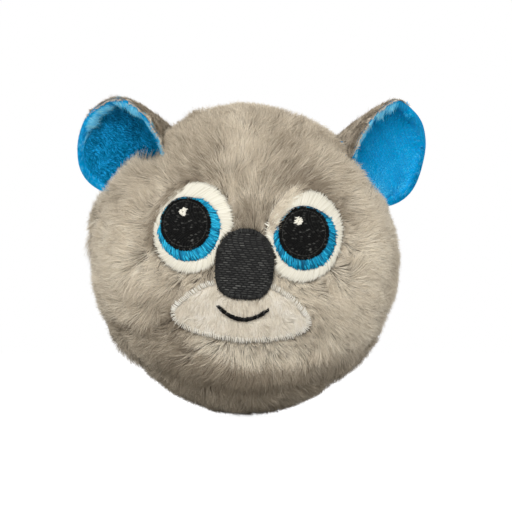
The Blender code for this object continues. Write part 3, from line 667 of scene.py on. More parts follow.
class Ripple:
    """A smooth random field made of waves in random directions."""

    def __init__(self, wavelength: float, seed: int, waves: int = 14) -> None:
        """Draws the waves.

        Args:
            wavelength: The waves' middle length in metres.
            seed: The draw's seed.
            waves: How many there are.
        """
        rng = np.random.default_rng(seed)
        self.turns = unit(rng.normal(size=(waves, 3))) * 2 * math.pi / wavelength * rng.uniform(0.6, 1.5, (waves, 1))
        self.starts = rng.uniform(0, 2 * math.pi, waves)

    def at(self, points: Array) -> Array:
        """The field's value at points, about -2 to 2."""
        return np.sin(points @ self.turns.T + self.starts).mean(-1) * math.sqrt(2 * len(self.starts))


def ripples(points: Array, wavelength: float, seed: int) -> Array:
    """Three unlike ripples at points, as vectors."""
    return np.stack([Ripple(wavelength, seed + k).at(points) for k in range(3)], -1)


@dataclass
class Ball:
    """The stuffed ball's shape over the tips of its pile, and the seams of its four panels."""

    half_width: float = 0.0499
    half_depth: float = 0.0470
    half_height: float = 0.0505
    foot_cut: float = 0.0012
    groove_depth: float = 0.0013
    groove_half_width: float = 0.0032
    crown_aim: Angles = (180, 86)
    side_left_aims: tuple[Angles, ...] = ((-100, 62), (-97, 25), (-95, -5))
    side_right_aims: tuple[Angles, ...] = ((100, 62), (97, 25), (95, -10))
    junction_left_aim: Angles = (-92, -34)
    junction_right_aim: Angles = (92, -40)
    chin_aims: tuple[Angles, ...] = ((-48, -46), (3, -54), (50, -49))
    heel_aim: Angles = (180, -52)
    heel_left_aim: Angles = (-138, -50)
    heel_right_aim: Angles = (138, -52)
    back_aims: tuple[Angles, ...] = ((180, 45), (180, 0), (180, -30))
    swells: tuple[tuple[Angles, float, float], ...] = (
        ((0, 84), 0.0010, 26),
        ((0, 38), 0.0012, 26),
        ((-52, -16), 0.0016, 22),
        ((52, -18), 0.0014, 22),
        ((-4, -38), 0.0018, 17),
        ((-86, -31), 0.0012, 11),
        ((86, -39), 0.0020, 9),
        ((-90, -52), -0.0024, 26),
        ((90, -58), -0.0016, 22),
        ((180, 8), 0.0012, 38),
    )
    seam_columns: int = 30

    def __post_init__(self) -> None:
        """Works out the centre and the seams."""
        self.centre = np.array([0.0, 0.0, self.half_height - self.foot_cut])
        self.half_sizes = np.array([self.half_width, self.half_depth, self.half_height])
        self.side_left = self.seam(self.crown_aim, *self.side_left_aims, self.junction_left_aim)
        self.side_right = self.seam(self.crown_aim, *self.side_right_aims, self.junction_right_aim)
        self.chin = self.seam(self.junction_left_aim, *self.chin_aims, self.junction_right_aim)
        self.heel_left = self.seam(self.junction_left_aim, self.heel_left_aim, self.heel_aim)
        self.heel_right = self.seam(self.junction_right_aim, self.heel_right_aim, self.heel_aim)
        self.back = self.seam(self.crown_aim, *self.back_aims, self.heel_aim)
        seams = (self.side_left, self.side_right, self.chin, self.heel_left, self.heel_right, self.back)
        self.samples = np.vstack([unit(smooth_path(path, 3 * len(path))) for path in seams])

    def seam(self, *aims: Angles) -> Array:
        """A seam as directions from the centre."""
        return unit(smooth_path([aim(angles) for angles in aims], self.seam_columns + 1))

    def swollen(self, directions: Array) -> Array:
        """The radius before the seams draw it in."""
        radius = 1 / np.sqrt(((directions / self.half_sizes) ** 2).sum(-1))
        for angles, height, spread in self.swells:
            away = np.degrees(np.arccos(np.clip(directions @ aim(angles), -1, 1)))
            radius = radius + height * np.exp(-((away / spread) ** 2))
        return radius

    def seam_distance(self, directions: Array) -> Array:
        """How far directions lie from the nearest seam, in metres on the ball."""
        flat = directions.reshape(-1, 3)
        nearest = np.concatenate([
            (flat[first:first + 20000] @ self.samples.T).max(-1) for first in range(0, len(flat), 20000)
        ])
        return np.arccos(np.clip(nearest, -1, 1)).reshape(directions.shape[:-1]) * self.half_width

    def pile(self, directions: Array) -> Array:
        """The radius over the pile's tips, with seam grooves and the flat foot."""
        radius = self.swollen(directions)
        near = self.seam_distance(directions)
        radius = radius - self.groove_depth * np.exp(-((near / self.groove_half_width) ** 2))
        floor = self.centre[2] / np.maximum(-directions[..., 2], 1e-6)
        return np.minimum(radius, floor)

    def place(self, directions: Array, radius: Array) -> Array:
        """Points at these directions and radii from the centre."""
        return self.centre + directions * radius[..., None]


class Panel(Enum):
    """The four cut pieces of plush."""

    FACE = "face_panel"
    UNDER = "under_panel"
    BACK_LEFT = "back_panel_left"
    BACK_RIGHT = "back_panel_right"


@dataclass
class Eye:
    """The outlines of one eye in the face's frame."""

    side: int
    iris_shift: float
    white_shift: float
    tilt: float
    glint_shift: float
    iris_tone: float
    spacing: float = 0.0374
    pair_shift: float = -0.0009
    rise: float = 0.0111
    pupil_half: Span = (0.0081, 0.0085)
    iris_half: Span = (0.0100, 0.0103)
    iris_drop: float = 0.0014
    iris_least: float = 1.07
    white_half: Span = (0.0124, 0.0148)
    white_drop: float = 0.0009
    glint_rise: float = 0.0037
    columns: int = 96

    def __post_init__(self) -> None:
        """Draws the outlines."""
        self.middle = np.array([self.pair_shift + self.side * self.spacing / 2, self.rise])
        self.pupil = self.middle + oval(*self.pupil_half, self.columns)
        drawn = self.middle + np.array([self.iris_shift, -self.iris_drop]) + oval(*self.iris_half, self.columns)
        least = self.middle + (self.pupil - self.middle) * self.iris_least
        shorter = np.linalg.norm(drawn - self.middle, axis=1) < np.linalg.norm(least - self.middle, axis=1)
        self.iris = np.where(shorter[:, None], least, drawn)
        egg = turned(oval(*self.white_half, self.columns), self.tilt)
        self.white = self.middle + np.array([self.white_shift, -self.white_drop]) + egg
        self.glint = self.middle + np.array([self.glint_shift, self.glint_rise])


@dataclass
class Face:
    """The face's frame on the ball, and everything drawn in it."""

    ball: Ball
    drop: float = 0.0006
    roll: float = 4.4
    nose_half: Span = (0.0094, 0.0113)
    nose_powers: Span = (2.1, 2.9)
    muzzle_half: Span = (0.0222, 0.0100)
    muzzle_drop: float = 0.0151
    muzzle_right: Path = (
        (0, 1.02), (0.22, 1.0), (0.43, 0.93), (0.66, 0.68), (0.84, 0.36), (0.97, 0.06), (1.0, -0.16),
        (0.95, -0.46), (0.75, -0.72), (0.48, -0.86), (0.22, -0.95), (0, -0.98),
    )
    hollow_depth: float = 0.0030
    hollow_margin: float = 0.0026
    hollow_slope: float = 0.0070
    edge_width: float = 0.0034
    stitch_lift: float = 0.0015
    far: float = 0.05
    drape_steps: int = 10
    dents: tuple[tuple[Angles, float, float], ...] = (
        ((-80, 49), 0.0075, 12), ((80, 34), 0.0020, 14), ((78, 73), 0.0018, 8), ((-50, 80), 0.0009, 12),
        ((-92, 19), -0.0036, 11), ((-88, -10), 0.0012, 12), ((85, -25), 0.0014, 14),
    )

    def __post_init__(self) -> None:
        """Draws the outlines."""
        self.left_eye = Eye(-1, 0.0012, 0.0023, -14, -0.0009, 0.50)
        self.right_eye = Eye(1, 0.0006, 0.0003, -7, -0.0020, 0.36)
        self.nose = oval(*self.nose_half, 128, *self.nose_powers)
        right = self.muzzle_right
        left = tuple((-across, up) for across, up in right[-2:0:-1])
        ring = np.array(right + left + right[:1]) * np.array(self.muzzle_half) - np.array([0, self.muzzle_drop])
        self.muzzle = resampled(smooth_path(ring, 6 * len(ring))[:-1], 160)[::-1]

    def to_front(self, points: Array) -> Array:
        """Face (across, up) places as front-view (x, z)."""
        roll = math.radians(self.roll)
        across, up = points[..., 0], points[..., 1]
        x = across * math.cos(roll) + up * math.sin(roll)
        z = up * math.cos(roll) - across * math.sin(roll) + self.ball.centre[2] - self.drop
        return np.stack([x, z], -1)

    def from_front(self, x: Array, z: Array) -> Array:
        """Front-view places as face (across, up)."""
        roll = math.radians(self.roll)
        up = z - self.ball.centre[2] + self.drop
        return np.stack([x * math.cos(roll) - up * math.sin(roll), x * math.sin(roll) + up * math.cos(roll)], -1)

    def away(self, directions: Array, radius: Array) -> Array:
        """How far places on the ball lie from the embroidery, seen from the front; less than zero in it."""
        places = self.ball.place(directions, radius).reshape(-1, 3)
        flat = self.from_front(places[:, 0], places[:, 2])
        result = np.full(len(flat), self.far)
        near = np.nonzero(places[:, 1] < 0)[0]
        outlines = (self.left_eye.white, self.right_eye.white, self.nose, self.muzzle)
        result[near] = np.min([outline_distance(flat[near], outline, True) for outline in outlines], axis=0)
        return result.reshape(radius.shape)

    def closeness(self, away: Array) -> Array:
        """How close places are to the embroidery: 1 at its edge, and 0 from a little way off."""
        return np.clip(1 - (away - 0.0004) / self.edge_width, 0, 1)

    def radius(self, directions: Array) -> Array:
        """The pile's radius with the hollow that the embroidery lies in, and the dents under the ears."""
        radius = self.ball.pile(directions)
        for angles, depth, spread in self.dents:
            turn = np.degrees(np.arccos(np.clip(directions @ aim(angles), -1, 1)))
            radius = radius - depth * np.exp(-((turn / spread) ** 2))
        away = np.maximum(self.away(directions, radius), 0)
        share = np.clip((away - self.hollow_margin) / self.hollow_slope, 0, 1)
        return radius - self.hollow_depth * (1 - share * share * (3 - 2 * share))

    def draped(self, points: Array, lift: Any) -> tuple[Array, Array]:
        """Lays flat points on the face.

        Args:
            points: Face (across, up) places.
            lift: Their height above the hollow's floor.

        Returns:
            The places, and the directions outwards there.
        """
        front = self.to_front(points)
        x, z = front[..., 0], front[..., 1] - self.ball.centre[2]
        y = np.full_like(x, -self.ball.half_depth)
        for _ in range(self.drape_steps):
            reach = np.sqrt(x * x + y * y + z * z)
            directions = np.stack([x, y, z], -1) / reach[..., None]
            floor = self.ball.pile(directions) - self.hollow_depth
            y = np.minimum(y + (floor + self.stitch_lift - reach) / directions[..., 1], -0.2 * self.ball.half_depth)
        normal = unit(directions / self.ball.half_sizes**2 * self.ball.half_depth**2)
        return self.ball.place(directions, floor + lift), normal


def linked(name: str, bm: bmesh.types.BMesh, finish: bpy.types.Material) -> bpy.types.Object:
    """The smooth object of a bmesh, which is freed."""
    mesh = bpy.data.meshes.new(name)
    bm.to_mesh(mesh)
    bm.free()
    mesh.shade_smooth()
    mesh.materials.append(finish)
    result = bpy.data.objects.new(name, mesh)
    bpy.context.scene.collection.objects.link(result)
    return result


def build_shell(
    name: str, outer: Array, inner: Array, pole: bool, closed: bool, finish: bpy.types.Material
) -> bpy.types.Object:
    """A closed body between two sheets of points.

    Args:
        name: The object's name.
        outer: The outer sheet, rows first.
        inner: The inner sheet, as many rows and columns.
        pole: Whether each sheet's first row is one point.
        closed: Whether the rows run round to their start.
        finish: The material.

    Returns:
        The object.
    """
    bm = bmesh.new()
    edges = []
    for points in (outer, inner):
        rows = [[bm.verts.new(point) for point in row] for row in points[1 if pole else 0:]]
        if pole:
            tip = bm.verts.new(points[0][0])
            for a, b in neighbours(rows[0], closed):
                bm.faces.new((tip, a, b))
        for lower, upper in zip(rows, rows[1:]):
            for (a, b), (c, d) in zip(neighbours(lower, closed), neighbours(upper, closed)):
                bm.faces.new((a, b, d, c))
        edges.append(rows)
    borders = [(edges[0][-1], edges[1][-1], closed)]
    if not pole:
        borders.append((edges[0][0], edges[1][0], closed))
    if not closed:
        borders += [([row[k] for row in edges[0]], [row[k] for row in edges[1]], False) for k in (0, -1)]
    for first, second, ring in borders:
        for (a, b), (c, d) in zip(neighbours(first, ring), neighbours(second, ring)):
            bm.faces.new((a, b, d, c))
    bmesh.ops.recalc_face_normals(bm, faces=bm.faces)
    result = linked(name, bm, finish)
    result.data.set_sharp_from_angle(angle=math.radians(45))
    return result


def neighbours(row: list, closed: bool) -> list[tuple]:
    """Neighbouring items of a row, round to the first again when it is closed."""
    return list(zip(row, row[1:] + row[:1])) if closed else list(zip(row, row[1:]))


def dressed(piece: bpy.types.Object, label: str, node: str | None = None, filled: bool = False) -> None:
    """Hands a piece of the head to the frame.

    Args:
        piece: The piece.
        label: The name of its material's slot; not used.
        node: The solid that it stands for, if any.
        filled: Whether it is padded cloth or stuffing; not used.
    """
    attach(piece, "head")
    if node:
        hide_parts(node)
    log.info("%s: %d faces", piece.name, len(piece.data.polygons))


# ---------------------------------------------------------------- the head


@dataclass
class Crease:
    """A line in the pile, seen from the front, where it parts and dips; its tone change is partly the dark roots where
    it parts and mostly painted shade, or painted light where it is below zero.
    """

    points: Array
    half_width: float
    # How much the tone is darkened, as painted shade; below zero it is lightened, as painted light.
    painted_shade: float = 0.0
    shorter: float = 0.0
    back_limit: float = 0.0

    def share(self, places: Array) -> Array:
        """How much of the crease is felt at places, from 0 to 1."""
        flat = places[:, [0, 2]]
        near = np.full(len(flat), np.inf)
        for point in smooth_path(self.points, 8 * len(self.points)):
            near = np.minimum(near, ((flat - point) ** 2).sum(-1))
        return np.exp(-near / self.half_width**2) * (places[:, 1] < self.back_limit)


@dataclass
class Clearing:
    """A patch, seen from the front, where the ear's cup opens and the ball's pile is short."""

    outline: Array

    def holds(self, places: Array) -> Array:
        """Which places lie in the patch, on the front half."""
        inside = outline_distance(places[:, [0, 2]], self.outline, True) < 0
        return inside & (places[:, 1] < 0.001)


@dataclass
class Overgrowth(Clearing):
    """A patch of embroidery, seen from the front, that pile lies over, and the way it lies."""

    nap: Span
    lighter: float


@dataclass
class Coat:
    """The ball's long pile: how it lies, how long it is, and where its tone is changed, mostly as painted shade and
    painted light.
    """

    ball: Ball
    face: Face
    strands: int = 290_000
    unevenness: float = 0.45
    depth: float = 0.0039
    length: float = 0.0068
    lift: float = 0.62
    tone: float = 0.56
    width: float = 0.00018
    joints: int = 4
    back_joints: int = 3
    droop: float = 0.22
    tuft_size: float = 0.0021
    tuft_pull: float = 0.50
    lock_size: float = 0.0060
    lock_pull: float = 0.20
    nap_pole: Span = (0.0, 0.0085)
    reach: float = 0.0056
    stray: float = 0.13
    trimmed_length: float = 0.30
    trimmed_depth: float = 0.0034
    trimmed_lift: float = 0.22
    seam_shade_half_width: float = 0.0018
    overgrown_depth: float = -0.0009
    overgrown_lift: float = 0.34
    seed: int = 7
    # Lines seen from the front where the pile parts and dips; their tone change is mostly painted shade, and painted
    # light where it is below zero.
    creases: tuple[Crease, ...] = tuple(
        Crease(tenths(*path), half_width / TENTHS, painted_shade, shorter)
        for path, half_width, painted_shade, shorter in (
            ((-253, 285, -330, 278, -425, 292), 20, 0.34, 0.3),
            ((-176, 752, -262, 690, -300, 563), 20, 0.48, 0.15),
            ((160, 739, 260, 690, 320, 595), 24, 0.34, 0.15),
            ((-10, 775, 2, 690, 0, 602), 26, 0.3, 0.15),
            ((-352, 819, -395, 775, -415, 725), 34, -0.06, -0.45),
            ((380, 800, 420, 745, 460, 700), 26, -0.06, -0.2),
            ((-20, 960, 0, 880, 20, 800), 70, -0.12, 0.0),
            ((-190, 880, -170, 830, -150, 790), 70, 0.16, 0.0),
            ((120, 900, 110, 850, 110, 790), 60, 0.17, 0.0),
            ((-440, 600, -430, 500, -330, 420, -180, 400), 70, -0.2, 0.0),
            ((150, 440, 300, 440, 420, 520), 80, -0.2, 0.0),
            ((400, 280, 430, 450, 440, 620, 420, 720), 70, -0.16, 0.0),
            ((-110, 215, 0, 190, 110, 200), 50, -0.28, 0.0),
            ((-270, 345, -240, 310, -230, 270), 32, 0.3, 0.1),
            ((-120, 740, -90, 660, -60, 610), 30, 0.26, 0.0),
            ((60, 780, 80, 740, 120, 730), 36, 0.2, 0.0),
            ((260, 740, 310, 700, 330, 640), 34, 0.26, 0.0),
            ((-400, 840, -340, 800, -360, 700), 70, 0.12, 0.0),
            ((-400, 420, -300, 380, -220, 360), 50, 0.14, 0.0),
            ((-190, 775, -120, 785, -60, 765), 34, 0.22, 0.0),
            ((100, 770, 160, 768, 220, 750), 34, 0.2, 0.0),
            ((200, 470, 260, 500, 310, 560), 30, 0.22, 0.0),
            ((-470, 500, -470, 430, -450, 370), 40, -0.16, 0.0),
            ((-420, 375, -380, 370, -340, 368), 40, 0.16, 0.0),
            ((-240, 300, -215, 292, -190, 290), 30, 0.25, 0.0),
            ((350, 330, 395, 280, 400, 220), 56, -0.14, 0.0),
            ((200, 762, 262, 715, 300, 655), 26, 0.3, 0.0),
            ((-230, 150, -100, 105, 60, 105), 40, 0.3, 0.0),
            ((225, 715, 245, 690, 265, 665), 36, 0.3, 0.0),
            ((100, 672, 125, 655), 30, 0.18, 0.0),
            ((-225, 322, -200, 290, -150, 270), 32, 0.2, 0.0),
        )
    )
    clearings: tuple[Clearing, ...] = (
        Clearing(tenths(
            -262, 848, -288, 826, -320, 815, -378, 818, -424, 800, -426, 768, -423, 714, -592, 659, -592, 1043, -394,
            1043, -304, 973, -266, 899,
        )),
        Clearing(tenths(
            336, 838, 368, 794, 400, 746, 432, 707, 474, 675, 624, 675, 624, 1043, 480, 1027, 406, 954, 362, 890,
        )),
    )
    overgrowths: tuple[Overgrowth, ...] = (
        Overgrowth(tenths(
            -298, 531, -295, 589, -286, 643, -260, 694, -222, 730, -182, 748, -164, 750, -173, 733, -208, 712, -235,
            680, -257, 649, -271, 618, -277, 576, -280, 531,
        ), (-0.72, -0.69), -0.26),
        Overgrowth(tenths(
            62, 566, 64, 602, 72, 641, 93, 681, 123, 707, 159, 721, 189, 724, 173, 704, 144, 677, 120, 650, 107, 620,
            88, 595, 75, 566,
        ), (0.62, 0.78), 0.28),
    )
    chin_edge: Path = tuple(map(tuple, tenths(
        -500, 340, -340, 270, -245, 243, -173, 212, -48, 150, 60, 140, 182, 150, 272, 176, 360, 222, 500, 300,
    )))

    def lattice(self) -> Array:
        """Directions spread evenly and a little unevenly over the ball."""
        rng = np.random.default_rng(self.seed)
        k = np.arange(self.strands) + 0.5
        z = 1 - 2 * k / self.strands
        turn = k * math.pi * (3 - math.sqrt(5))
        flat = np.sqrt(1 - z * z)
        even = np.stack([flat * np.cos(turn), flat * np.sin(turn), z], -1)
        return unit(even + rng.normal(size=even.shape) * math.sqrt(4 * math.pi / self.strands) * self.unevenness)

    def panel(self, directions: Array) -> Array:
        """Which panel each direction belongs to, as the number of its place in Panel."""
        result = np.full(len(directions), -1)
        loops = panel_loops(self.ball)
        for number, panel in enumerate(Panel):
            centre, loop = loops[panel]
            across = unit(np.cross(centre, [0.31, 0.17, 0.94]))
            frame = np.stack([across, np.cross(centre, across), centre])
            seen, edge = directions @ frame.T, loop @ frame.T
            flat = seen[:, :2] / np.maximum(1 + seen[:, 2:], 0.05)
            outline = edge[:, :2] / (1 + edge[:, 2:])
            inside = outline_distance(flat, outline, True) < 0
            result[inside & (result < 0)] = number
        return np.where(result < 0, len(Panel) - 1, result)

    def lay(self, directions: Array, places: Array, out: Array) -> Array:
        """The way the pile lies: away from the bridge of the nose, and down at the back."""
        front = self.face.to_front(np.array(self.nap_pole))
        pole = np.array([front[0], 0.0, front[1]]) - self.ball.centre
        pole[1] = -math.sqrt(max(self.ball.half_depth**2 - pole[0] ** 2 - pole[2] ** 2, 0))
        away = directions - unit(pole)
        back = np.clip((directions[:, 1:2] - 0.05) / 0.5, 0, 1)
        away = unit(away) * (1 - back) + np.array([0.0, 0.0, -1.0]) * back
        drift = ripples(places, 0.030, 11) * 0.26
        drift += ripples(places, 0.009, 21) * 0.34
        return along_surface(away + drift * (1 - 0.45 * back), out)

    def hem(self, tips: Array, nap: Array, directions: Array) -> tuple[Array, Array, Array]:
        """The roll of pile over the chin's fold.

        Args:
            tips: Where the strands end.
            nap: The way they lie.
            directions: Their directions from the ball's centre.

        Returns:
            Shares from 0 to 1: of the fold's middle, of its lip, lightened as a painted highlight, and of the region
                below it, darkened as painted shade.
        """
        hem = tips + nap * self.reach * 1.2
        over = hem[:, 2] - np.interp(hem[:, 0], *np.transpose(self.chin_edge))
        middle = np.clip(1.35 - np.abs(tips[:, 0]) / 0.028, 0, 1) * (directions[:, 1] < 0.1)
        lip = np.exp(-(((over - 0.0012) / 0.0020) ** 2)) * middle
        return middle, lip, np.clip(-over / 0.0022, 0, 1) * (directions[:, 1] < 0.3)

    def points(self) -> tuple[dict[str, Array], Array]:
        """Every strand's place and shape, and its panel."""
        rng = np.random.default_rng(self.seed + 1)
        directions = self.lattice()
        radius = self.face.radius(directions)
        away = self.face.away(directions, radius)
        tips = self.ball.place(directions, radius)
        out = unit(directions / self.ball.half_sizes**2)
        grown = np.array([patch.holds(tips) & (away < 0.0004) for patch in self.overgrowths])
        kept = (away > -0.0012) | (grown.any(0) & (rng.uniform(size=len(away)) < 1.15 + away / 0.0035))
        nap = along_surface(self.lay(directions, tips, out) + rng.normal(size=out.shape) * self.stray, out)
        trimmed = np.any([patch.holds(tips + nap * self.reach * 0.8) for patch in self.clearings], axis=0)
        directions, away, tips, out, nap, trimmed = (
            values[kept] for values in (directions, away, tips, out, nap, trimmed)
        )
        count = len(directions)
        shown = tips + nap * self.reach * 0.7
        tone = self.tone + 0.07 * Ripple(0.016, 31).at(shown) + 0.10 * Ripple(0.0036, 32).at(tips)
        # Painted shade: the tone darkens towards the top of the head.
        tone = tone + rng.normal(size=count) * 0.14 - 0.16 * np.clip((shown[:, 2] - 0.074) / 0.014, 0, 1)
        scale = 1 + 0.05 * Ripple(0.012, 33).at(tips) + rng.normal(size=count) * 0.06
        lift = self.lift + 0.05 * Ripple(0.010, 34).at(tips) + rng.normal(size=count) * 0.05
        # The creases' tone change is painted shade, or painted light where it is below zero; their shortening is real.
        for crease in self.creases:
            tone = tone - crease.painted_shade * crease.share(shown)
            scale = scale * (1 - crease.shorter * crease.share(tips))
        middle, lip, below = self.hem(tips, nap, directions)
        near = self.face.closeness(away)
        floor = np.clip((tips[:, 2] - 0.0008) / 0.004, 0, 1)
        # Painted highlight on the fold's lip and painted shade below the chin's fold.
        tone = tone + 0.16 * lip - (0.22 + 0.22 * middle) * below
        # Painted shade along the seams' grooves.
        tone = tone - 0.10 * np.exp(-((self.ball.seam_distance(directions) / self.seam_shade_half_width) ** 2))
        # Painted shade on the short pile before the ears' cups.
        tone = tone - 0.12 * trimmed
        scale = scale * (1 + 0.10 * lip - 0.12 * below) * (1 - 0.46 * near)
        scale = np.where(trimmed, self.trimmed_length * (1 + rng.normal(size=count) * 0.15), scale)
        lift = lift - 0.10 * lip - 0.06 * below - 0.12 * np.clip((np.abs(directions[:, 0]) - 0.75) / 0.2, 0, 1)
        lift = np.where(trimmed, self.trimmed_lift, (lift + 0.16 * near) * (0.85 + 0.15 * floor))
        depth = np.where(trimmed, self.trimmed_depth, self.depth * (1 - 0.66 * near))
        for patch, inside in zip(self.overgrowths, grown[:, kept]):
            along = np.array([patch.nap[0], 0.0, patch.nap[1]]) + rng.normal(size=(count, 3)) * 0.22
            nap = np.where(inside[:, None], along_surface(along, out), nap)
            depth = np.where(inside, self.overgrown_depth, depth)
            lift = np.where(inside, self.overgrown_lift, lift)
            tone = tone + patch.lighter * inside
        sway = rng.normal(size=(count, 3)) * 0.08
        points = {
            "root": tips - out * depth[:, None],
            "out": out,
            "nap": nap,
            "sway": sway - out * (sway * out).sum(-1, keepdims=True),
            "length": self.length * np.clip(scale, 0.2, 1.35),
            "lift": np.clip(lift, 0.12, 0.93),
            "roll": rng.uniform(-0.9, 0.9, count),
            "tone": np.clip(tone, 0.02, 0.98),
        }
        return points, self.panel(directions)

    def build(self, tree: GrowthTree, finish: bpy.types.Material) -> list[bpy.types.Object]:
        """The pile as plain meshes, each one part of one panel's coat."""
        points, panel = self.points()
        tuft, lock = (self.tuft_size, self.tuft_pull), (self.lock_size, self.lock_pull)
        made = []
        for number, name in enumerate(Panel):
            joints = self.joints if name is Panel.FACE else self.back_joints
            sizes = pile_sizes(joints, self.width, tuft, lock, self.droop)
            most = MOST_TRIANGLES // (2 * (joints - 1))
            rows = np.nonzero(panel == number)[0]
            rows = rows[np.argsort(points["root"][rows, 0])]
            for k, part in enumerate(np.array_split(rows, max(1, math.ceil(len(rows) / most)))):
                own = {label: values[part] for label, values in points.items()}
                made.append(tree.grow(f"{name.value.replace('panel', 'pile')}_{k + 1}", own, sizes, finish))
        return made


def panel_loops(ball: Ball) -> dict[Panel, tuple[Array, Array]]:
    """Each panel's middle direction and its closed loop of seams."""
    face = np.vstack([ball.side_left[:-1], ball.chin[:-1], ball.side_right[::-1][:-1]])
    under = np.vstack([ball.chin[:-1], ball.heel_right[:-1], ball.heel_left[::-1][:-1]])
    left = np.vstack([ball.side_left[:-1], ball.heel_left[:-1], ball.back[::-1][:-1]])
    right = np.vstack([ball.side_right[:-1], ball.heel_right[:-1], ball.back[::-1][:-1]])
    return {
        Panel.FACE: (aim((0, 4)), face),
        Panel.UNDER: (aim((0, -90)), under),
        Panel.BACK_LEFT: (aim((-138, 5)), left),
        Panel.BACK_RIGHT: (aim((138, 5)), right),
    }


@dataclass
class Head:
    """The stuffed ball: fibre, four panels of backing cloth and their long pile."""

    ball: Ball
    face: Face
    backing_depth: float = 0.0038
    backing_thickness: float = 0.0010
    seam_gap: float = 0.0003
    rings: int = 26
    fibre_depth: float = 0.0056
    fibre_lump: float = 0.0004

    def between(self, start: Array, end: Array, share: float) -> Array:
        """Directions part of the way along the great arcs from start to end."""
        angle = np.arccos(np.clip((start * end).sum(-1, keepdims=True), -1, 1))
        return unit(np.sin((1 - share) * angle) * start + np.sin(share * angle) * end)

    def build_backing(self, panel: Panel, finish: bpy.types.Material) -> bpy.types.Object:
        """One panel's backing cloth, which its pile is knitted into."""
        centre, loop = panel_loops(self.ball)[panel]
        along = np.roll(loop, -1, axis=0) - np.roll(loop, 1, axis=0)
        inward = unit(np.cross(loop, along))
        facing = np.sign((inward * (centre - loop)).sum(-1, keepdims=True))
        loop = unit(loop + inward * facing * self.seam_gap / 2 / self.ball.half_width)
        middle = np.repeat(centre[None], len(loop), axis=0)
        grid = np.array([self.between(middle, loop, k / self.rings) for k in range(self.rings + 1)])
        radius = self.face.radius(grid)
        outer = radius - self.backing_depth * (1 - 0.60 * self.face.closeness(self.face.away(grid, radius)))
        return build_shell(
            panel.value.replace("panel", "backing"),
            self.ball.place(grid, outer),
            self.ball.place(grid, outer - self.backing_thickness),
            True,
            True,
            finish,
        )

    def build_fibre(self, finish: bpy.types.Material) -> bpy.types.Object:
        """The ball of loose fibre inside."""
        bm = bmesh.new()
        bmesh.ops.create_icosphere(bm, subdivisions=5, radius=1)
        directions = unit(np.array([vertex.co for vertex in bm.verts]))
        radius = self.face.radius(directions) - self.fibre_depth
        places = self.ball.place(directions, radius)
        places = self.ball.place(directions, radius - self.fibre_lump * np.abs(Ripple(0.008, 3).at(places)))
        for vertex, place in zip(bm.verts, places):
            vertex.co = place
        return linked("fibre_ball", bm, finish)

    def build(self, pile: GrowthTree) -> None:
        """Builds the ball and hands it to the frame."""
        fibre = self.build_fibre(FibreFinish("stuffing fibre").build())
        dressed(fibre, "polyester_fibre", "stuffing_core", filled=True)
        cloth = GREY_BACKING.build()
        for panel in Panel:
            dressed(self.build_backing(panel, cloth), "grey_taupe_long_pile", panel.value, filled=True)
        coat = Coat(self.ball, self.face)
        for piece in coat.build(pile, LONG_PILE.build()):
            dressed(piece, "grey_taupe_long_pile")


# ---------------------------------------------------------------- embroidery


@dataclass
class Stitches:
    """A run of stitches on the face, each from one flat place to another."""

    starts: Array
    ends: Array
    tone: Array
    width: float
    rise: float
    lift: float = 0.0013
    seed: int = 1

    def longer(self, least: float) -> "Stitches":
        """Only the stitches at least this long."""
        kept = np.linalg.norm(self.ends - self.starts, axis=1) > least
        return replace(self, starts=self.starts[kept], ends=self.ends[kept], tone=self.tone[kept])

    def points(self, face: Face) -> dict[str, Array]:
        """The stitches' attributes, laid on the face."""
        rng = np.random.default_rng(self.seed)
        count = len(self.starts)
        lift = self.lift + rng.uniform(-0.00008, 0.00008, count)
        root, out = face.draped(self.starts, lift)
        end, far = face.draped(self.ends, lift)
        return {
            "root": root,
            "end": end,
            "out": unit(out + far),
            "width": self.width * rng.uniform(0.85, 1.15, count),
            "rise": self.rise * rng.uniform(0.8, 1.2, count),
            "tone": np.clip(self.tone, 0.02, 0.98),
        }


def pile_sizes(joints: int, width: float, tuft: Span, lock: Span, droop: float) -> dict[str, float]:
    """The pile tree's sizes; tufts and locks each have a size and a pull."""
    return {
        "Joints": joints, "Strand width": width, "Tuft size": tuft[0], "Tuft pull": tuft[1],
        "Lock size": lock[0], "Lock pull": lock[1], "Droop": droop,
    }


def joined(runs: Iterable[dict[str, Array]]) -> dict[str, Array]:
    """Several runs of stitches as one."""
    runs = list(runs)
    return {label: np.concatenate([run[label] for run in runs]) for label in runs[0]}


@dataclass(frozen=True)
class Satin:
    """Satin stitches across a ring.

    Attributes:
        pitch: The distance between stitches at the outside.
        width: The thread's width.
        fray: How far stitch ends stray, as a standard deviation.
        tone: The tone's middle.
        spread: The tone's standard deviation.
        slant: How far the outer end runs ahead, in stitches.
        rise: The thread's height.
        lift: The thread's foot above the hollow's floor.
    """

    pitch: float
    width: float
    fray: float
    tone: float
    spread: float
    slant: float = 0.0
    rise: float = 0.00022
    lift: float = 0.0013


@dataclass(frozen=True)
class Fill:
    """Rows of fill stitches: their pitch and length, and the rest as for satin."""

    pitch: float
    length: float
    width: float
    tone: float
    spread: float
    rise: float
    lift: float


